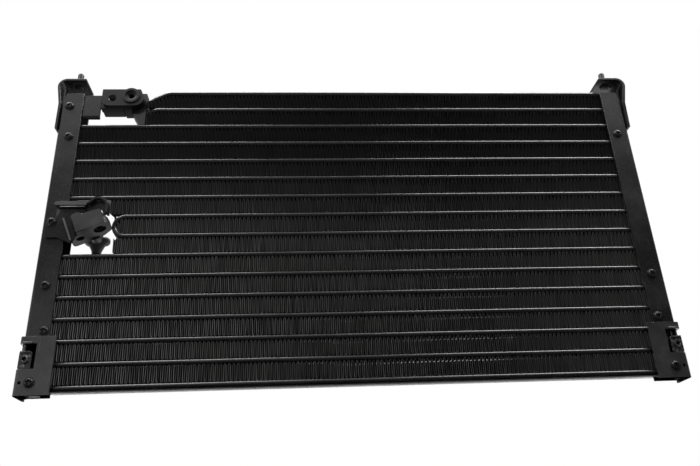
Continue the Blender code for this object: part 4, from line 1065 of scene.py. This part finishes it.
@dataclass
class PortSeats:
    """The turned insides of the inlet block's two openings."""

    block_finish: Material
    thread_finish: Material
    port: Pair = (-231.8 * MM, 313.8 * MM)
    bolt: Pair = (-251.0 * MM, 310.8 * MM)
    port_face: float = -19.55 * MM
    bolt_face: float = -18.15 * MM
    seat_radii: Floats = (6.1, 5.3, 2.9, 2.5, 2.5, 3.9, 3.9, 6.1)
    seat_depths: Floats = (1.0, 1.1, 2.5, 2.8, 5.2, 5.2, 3.05, 2.95)
    ridges: int = 7
    thread: float = 0.9
    thread_start: float = 0.5
    thread_radii: Pair = (3.95, 3.35)
    thread_wall: float = 4.15
    around: int = 48

    def ring(self, name: str, spot: Pair, radii: Array, depths: Array,
             finish: Material) -> None:
        """A closed profile turned about the y axis: x = r cos t, z = r sin t, y = the profile's own depth.

        Args:
            name: the piece's name.
            spot: x and z of its axis.
            radii: the profile's radii, in order round the ring's section.
            depths: its places along y.
            finish: its finish.
        """
        points = turned_surface(np.append(radii, radii[0]), np.append(depths, depths[0]), self.around)
        placed = grid(spot[0] + points[..., 0], points[..., 2], spot[1] - points[..., 1])
        count = len(radii)
        faces = np.array(ring_faces(count + 1, self.around)) % (count * self.around)
        add_piece(name, placed[:count], finish, [], 35.0, faces.tolist())

    def build(self) -> None:
        """Make the port's conical seat and the bolt hole's thread."""
        radii = np.array(self.seat_radii) * MM
        depths = self.port_face + np.array(self.seat_depths) * MM
        self.ring("inlet_port_seat", self.port, radii[::-1], depths[::-1], self.block_finish)
        radii = np.array([self.thread_wall, *self.thread_radii * self.ridges, self.thread_wall]) * MM
        turns = np.append(0, np.arange(2 * self.ridges + 1)) * self.thread / 2
        depths = self.bolt_face + (self.thread_start + turns) * MM
        self.ring("inlet_bolt_thread", self.bolt, radii[::-1], depths[::-1], self.thread_finish)


@dataclass
class Screws:
    """Pan-head cross-recess screws."""

    finish: Material
    head_height: float = 2.6 * MM
    shank_radius: float = 2.1 * MM
    arm: float = 2.3 * MM
    arm_width: float = 0.55 * MM
    recess: float = 1.5 * MM
    soft: float = 0.22 * MM
    under_seat: float = 0.05 * MM
    dome_rings: int = 14
    dome_share: float = 0.70
    dome_fall: float = 0.16
    rim: tuple[Pair, ...] = ((0.77, 0.66), (0.81, 0.42), (0.83, 0.34), (0.97, 0.30), (1.0, 0.22),
                                            (1.0, 0.04), (0.97, 0.0))
    tip: Pair = (0.6, 0.6 * MM)
    around: int = 48

    def profile(self, radius: float, shank: float) -> tuple[Array, Array]:
        """The turned profile from the head's top to the shank's tip: a flat dome, a washer face and a plain shank.

        Args:
            radius: the head's radius.
            shank: the shank's length.

        Returns:
            Radii and heights above the seat.
        """
        share = np.linspace(0.0, 1.0, self.dome_rings + 1)[1:]
        top = share * self.dome_share * radius
        dome = self.head_height * (1 - self.dome_fall * share ** 3)
        rest = np.array(self.rim)
        body = np.array([[self.shank_radius, 0.0], [self.shank_radius, -shank + self.tip[1]],
                         [self.shank_radius * self.tip[0], -shank]])
        radii = np.concatenate([top, rest[:, 0] * radius, body[:, 0]])
        heights = np.concatenate([dome, rest[:, 1] * self.head_height, body[:, 1]])
        return radii, heights

    def screw(self, node: str, facing: Facing, turn: float) -> None:
        """One screw; its recess is depth times the larger of two crossed, soft-edged bars.

        Args:
            node: the CAD node that it replaces.
            facing: which way its head looks.
            turn: the recess's angle in radians.
        """
        low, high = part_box(node)
        radius = (high.x - low.x) / 2
        shank = (high.y - low.y) - self.head_height
        radii, heights = self.profile(radius, shank - self.under_seat)
        points = turned_surface(radii, heights, self.around)
        u = points[..., 0] * math.cos(turn) + points[..., 1] * math.sin(turn)
        v = points[..., 1] * math.cos(turn) - points[..., 0] * math.sin(turn)

        def bar(along: Array, aside: Array) -> Array:
            """Soft-edged bar: one inside its length and width, zero outside."""
            inside = np.clip((self.arm - np.abs(along)) / (self.soft * 2), 0, 1)
            return inside * np.clip((self.arm_width + self.soft - np.abs(aside)) / self.soft, 0, 1)

        mask = np.maximum(bar(u, v), bar(v, u)) * (np.arange(len(radii))[:, None] < self.dome_rings)
        points[..., 2] -= mask * self.recess
        seat = low.y + self.head_height if facing is Facing.FRONT else high.y - self.head_height
        across, up = (low.x + high.x) / 2, (low.z + high.z) / 2
        placed = grid(across + points[..., 0], seat + facing.value * points[..., 2],
                      up - facing.value * points[..., 1]).reshape(-1, 3)
        hub = len(placed)
        deep = seat + facing.value * (self.head_height - self.recess)
        placed = np.append(placed, [[across, deep, up]], 0)
        faces = ring_faces(len(radii), self.around)
        faces += [[hub, (side + 1) % self.around, side] for side in range(self.around)]
        faces.append(list(range(hub - self.around, hub)))
        add_piece(f"{node}_head", placed, self.finish, [node], 40.0, faces)

    def build(self) -> None:
        """Make every screw with its own turn of the recess."""
        seed = np.random.default_rng(SEED + 1)
        names = sorted(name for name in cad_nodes() if "screw" in name)
        for name in names:
            facing = Facing.BACK if name == "pipe_clip_screw" else Facing.FRONT
            self.screw(name, facing, float(seed.uniform(0, math.pi / 2)))


@dataclass
class LocatingPins:
    """The two round-topped pins of the upper brackets."""

    finish: Material
    shank: float = 3.2 * MM
    foot_height: float = 1.44 * MM
    foot: tuple[Pair, ...] = ((0.55, 0.0), (0.85, 0.3 * MM), (1.0, 0.9 * MM))
    lowest_shank: float = 3.0 * MM
    dome: float = 2.4 * MM
    around: int = 40

    def pin(self, side: str) -> None:
        """One pin turned about z: a riveted foot, a straight shank and a cap of a quarter ellipse.

        Args:
            side: left or right.
        """
        node = f"top_{side}_pin"
        low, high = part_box(node)
        collar = (high.x - low.x) / 2
        seat = low.z + self.foot_height
        cap = np.linspace(0, math.pi / 2, 9)[:-1]
        radii = np.concatenate([[share * collar for share, _ in self.foot], [collar, self.shank, self.shank],
                                self.shank * np.cos(cap)])
        heights = np.concatenate([[low.z + height for _, height in self.foot], [seat, seat, seat + self.lowest_shank],
                                  high.z - self.dome + self.dome * np.sin(cap)])
        points = turned_surface(radii, heights, self.around)
        points[..., :2] += (low.x + high.x) / 2, (low.y + high.y) / 2
        add_piece(f"top_{side}_locating_pin", points, self.finish, [node], smooth=35.0)

    def build(self) -> None:
        """Make both pins."""
        for side in ("left", "right"):
            self.pin(side)


@dataclass(frozen=True)
class SoftBox:
    """A rectangular lamp with soft edges to its shadows."""

    name: str
    place: Triple
    aim: Triple
    size: Pair
    radiance: float

    def build(self) -> None:
        """Put the lamp in its place, turned to its aim."""
        lamp = bpy.data.lights.new(self.name, "AREA")
        lamp.shape = "RECTANGLE"
        lamp.size, lamp.size_y = self.size
        lamp.energy = self.radiance * math.pi * self.size[0] * self.size[1]
        holder = bpy.data.objects.new(self.name, lamp)
        way = Vector(self.aim) - Vector(self.place)
        turn = way.to_track_quat("-Z", "Y").to_matrix().to_4x4()
        holder.matrix_world = Matrix.Translation(self.place) @ turn
        bpy.context.scene.collection.objects.link(holder)


@dataclass
class Studio:
    """The pale floor, two soft boxes in front, one behind, a white surround and the camera."""

    eye: Triple = (-0.05351, -0.63316, -0.13283)
    turn: Triple = (114.67767, 2.33752, -3.33456)
    focal_pixels: float = 690.0
    frame_pixels: float = 700.0
    surround: float = 0.34
    below: float = 0.03
    high_front: float = 1.05
    mid_front: float = 0.02
    low_left: float = 0.85
    floor_half: float = 4.0
    floor_level: float = -0.4 * MM
    boxes: tuple[SoftBox, ...] = (
        SoftBox("left_soft_box", (-0.72, -0.25, 1.60), (-0.25, 0.0, 0.2), (0.70, 1.0), radiance=9.2),
        SoftBox("right_soft_box", (0.74, -0.25, 1.60), (0.25, 0.0, 0.2), (0.70, 1.0), radiance=11.5),
        SoftBox("back_soft_box", (0.0, 0.95, 2.0), (0.0, 0.0, 0.2), (1.6, 0.9), radiance=6.0))

    def floor(self) -> None:
        """A flat floor: z is just below the lowest point over a square of x and y."""
        half, level = self.floor_half, self.floor_level
        points = np.array([[-half, -half, level], [half, -half, level], [half, half, level], [-half, half, level]])
        mesh = bpy.data.meshes.new("floor")
        mesh.from_pydata(points.tolist(), [], [[0, 1, 2, 3]])
        mesh.materials.append(PaleFloor().material())
        ground = bpy.data.objects.new("floor", mesh)
        bpy.context.scene.collection.objects.link(ground)

    def world(self) -> None:
        """A white background for the camera, and a softer white surround that lights the part."""
        world = bpy.data.worlds.new("surround")
        world.use_nodes = True
        bench = ShaderBench(tree=world.node_tree)
        way = bench.node("ShaderNodeTexCoord", {}, {}, "Generated")
        across, deep, up = bench.axes(way)
        side = across.absolute().above(0.1, 0.8)
        behind = bench.blend(side, grey(self.surround * 0.4), grey(self.surround * 1.4))
        low = bench.blend((across * -1).above(-0.1, 0.45), grey(self.mid_front), grey(self.low_left))
        mid = bench.blend(up.above(0.22, 0.38), low, grey(self.mid_front))
        front = bench.blend(up.above(0.45, 0.57), mid, grey(self.high_front))
        over = bench.blend(up.above(0.72, 0.92), front, grey(self.surround))
        light = bench.blend(deep.above(-0.25, 0.25), over, behind)
        soft = bench.node("ShaderNodeBackground", {},
                          {"Color": bench.blend(up.above(-0.12, 0.1), grey(self.below), light)})
        white = bench.node("ShaderNodeBackground", {}, {"Color": grey(1.0)})
        seen = bench.node("ShaderNodeLightPath", {}, {}, "Is Camera Ray")
        mixed = bench.node("ShaderNodeMixShader", {}, {0: seen, 1: soft, 2: white})
        bench.close(mixed, "ShaderNodeOutputWorld")
        bpy.context.scene.world = world

    def camera(self) -> None:
        """The camera as fitted to the photograph."""
        lens = bpy.data.cameras.new("camera")
        lens.sensor_fit = "HORIZONTAL"
        lens.sensor_width = 36.0
        lens.lens = 36.0 * self.focal_pixels / self.frame_pixels
        lens.clip_start = 0.01
        holder = bpy.data.objects.new("camera", lens)
        holder.location = self.eye
        holder.rotation_euler = [math.radians(angle) for angle in self.turn]
        bpy.context.scene.collection.objects.link(holder)
        bpy.context.scene.camera = holder

    def build(self) -> None:
        """Set up everything around the condenser."""
        self.floor()
        for box in self.boxes:
            box.build()
        self.world()
        self.camera()
        bpy.context.scene.view_settings.view_transform = "Standard"


class Condenser:
    """The whole condenser, sub-assembly by sub-assembly."""

    def build(self) -> None:
        """Build and dress every piece."""
        first_low, first_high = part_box("fin_row_01")
        second_low, second_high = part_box("fin_row_02")
        middle = (first_low.z + first_high.z) / 2
        pitch = middle - (second_low.z + second_high.z) / 2
        tube_low, tube_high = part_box("outer_circuit_tube")
        finishes = Finishes(FinPaint("painted_fin", first_low.y, first_high.y, pitch, middle))
        depth = (tube_low.y, tube_high.y)
        top_run = middle + pitch / 2
        FlatTubes(finishes.tube, pitch, top_run, depth).build()
        FinPack(finishes.fin).build()
        SheetParts(finishes.sheet, finishes.plate, finishes.clip).build()
        TopBrackets(finishes.sheet, top_run).build()
        Fittings(finishes.block, finishes.pad, finishes.tube).build()
        PortSeats(finishes.pad, finishes.screw).build()
        Screws(finishes.screw).build()
        LocatingPins(finishes.pin).build()


def main() -> None:
    """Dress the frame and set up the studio."""
    logging.basicConfig(level=logging.INFO, format="%(name)s: %(message)s")
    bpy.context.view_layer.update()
    Condenser().build()
    Studio().build()


if __name__ == "__main__":
    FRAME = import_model()
    main()
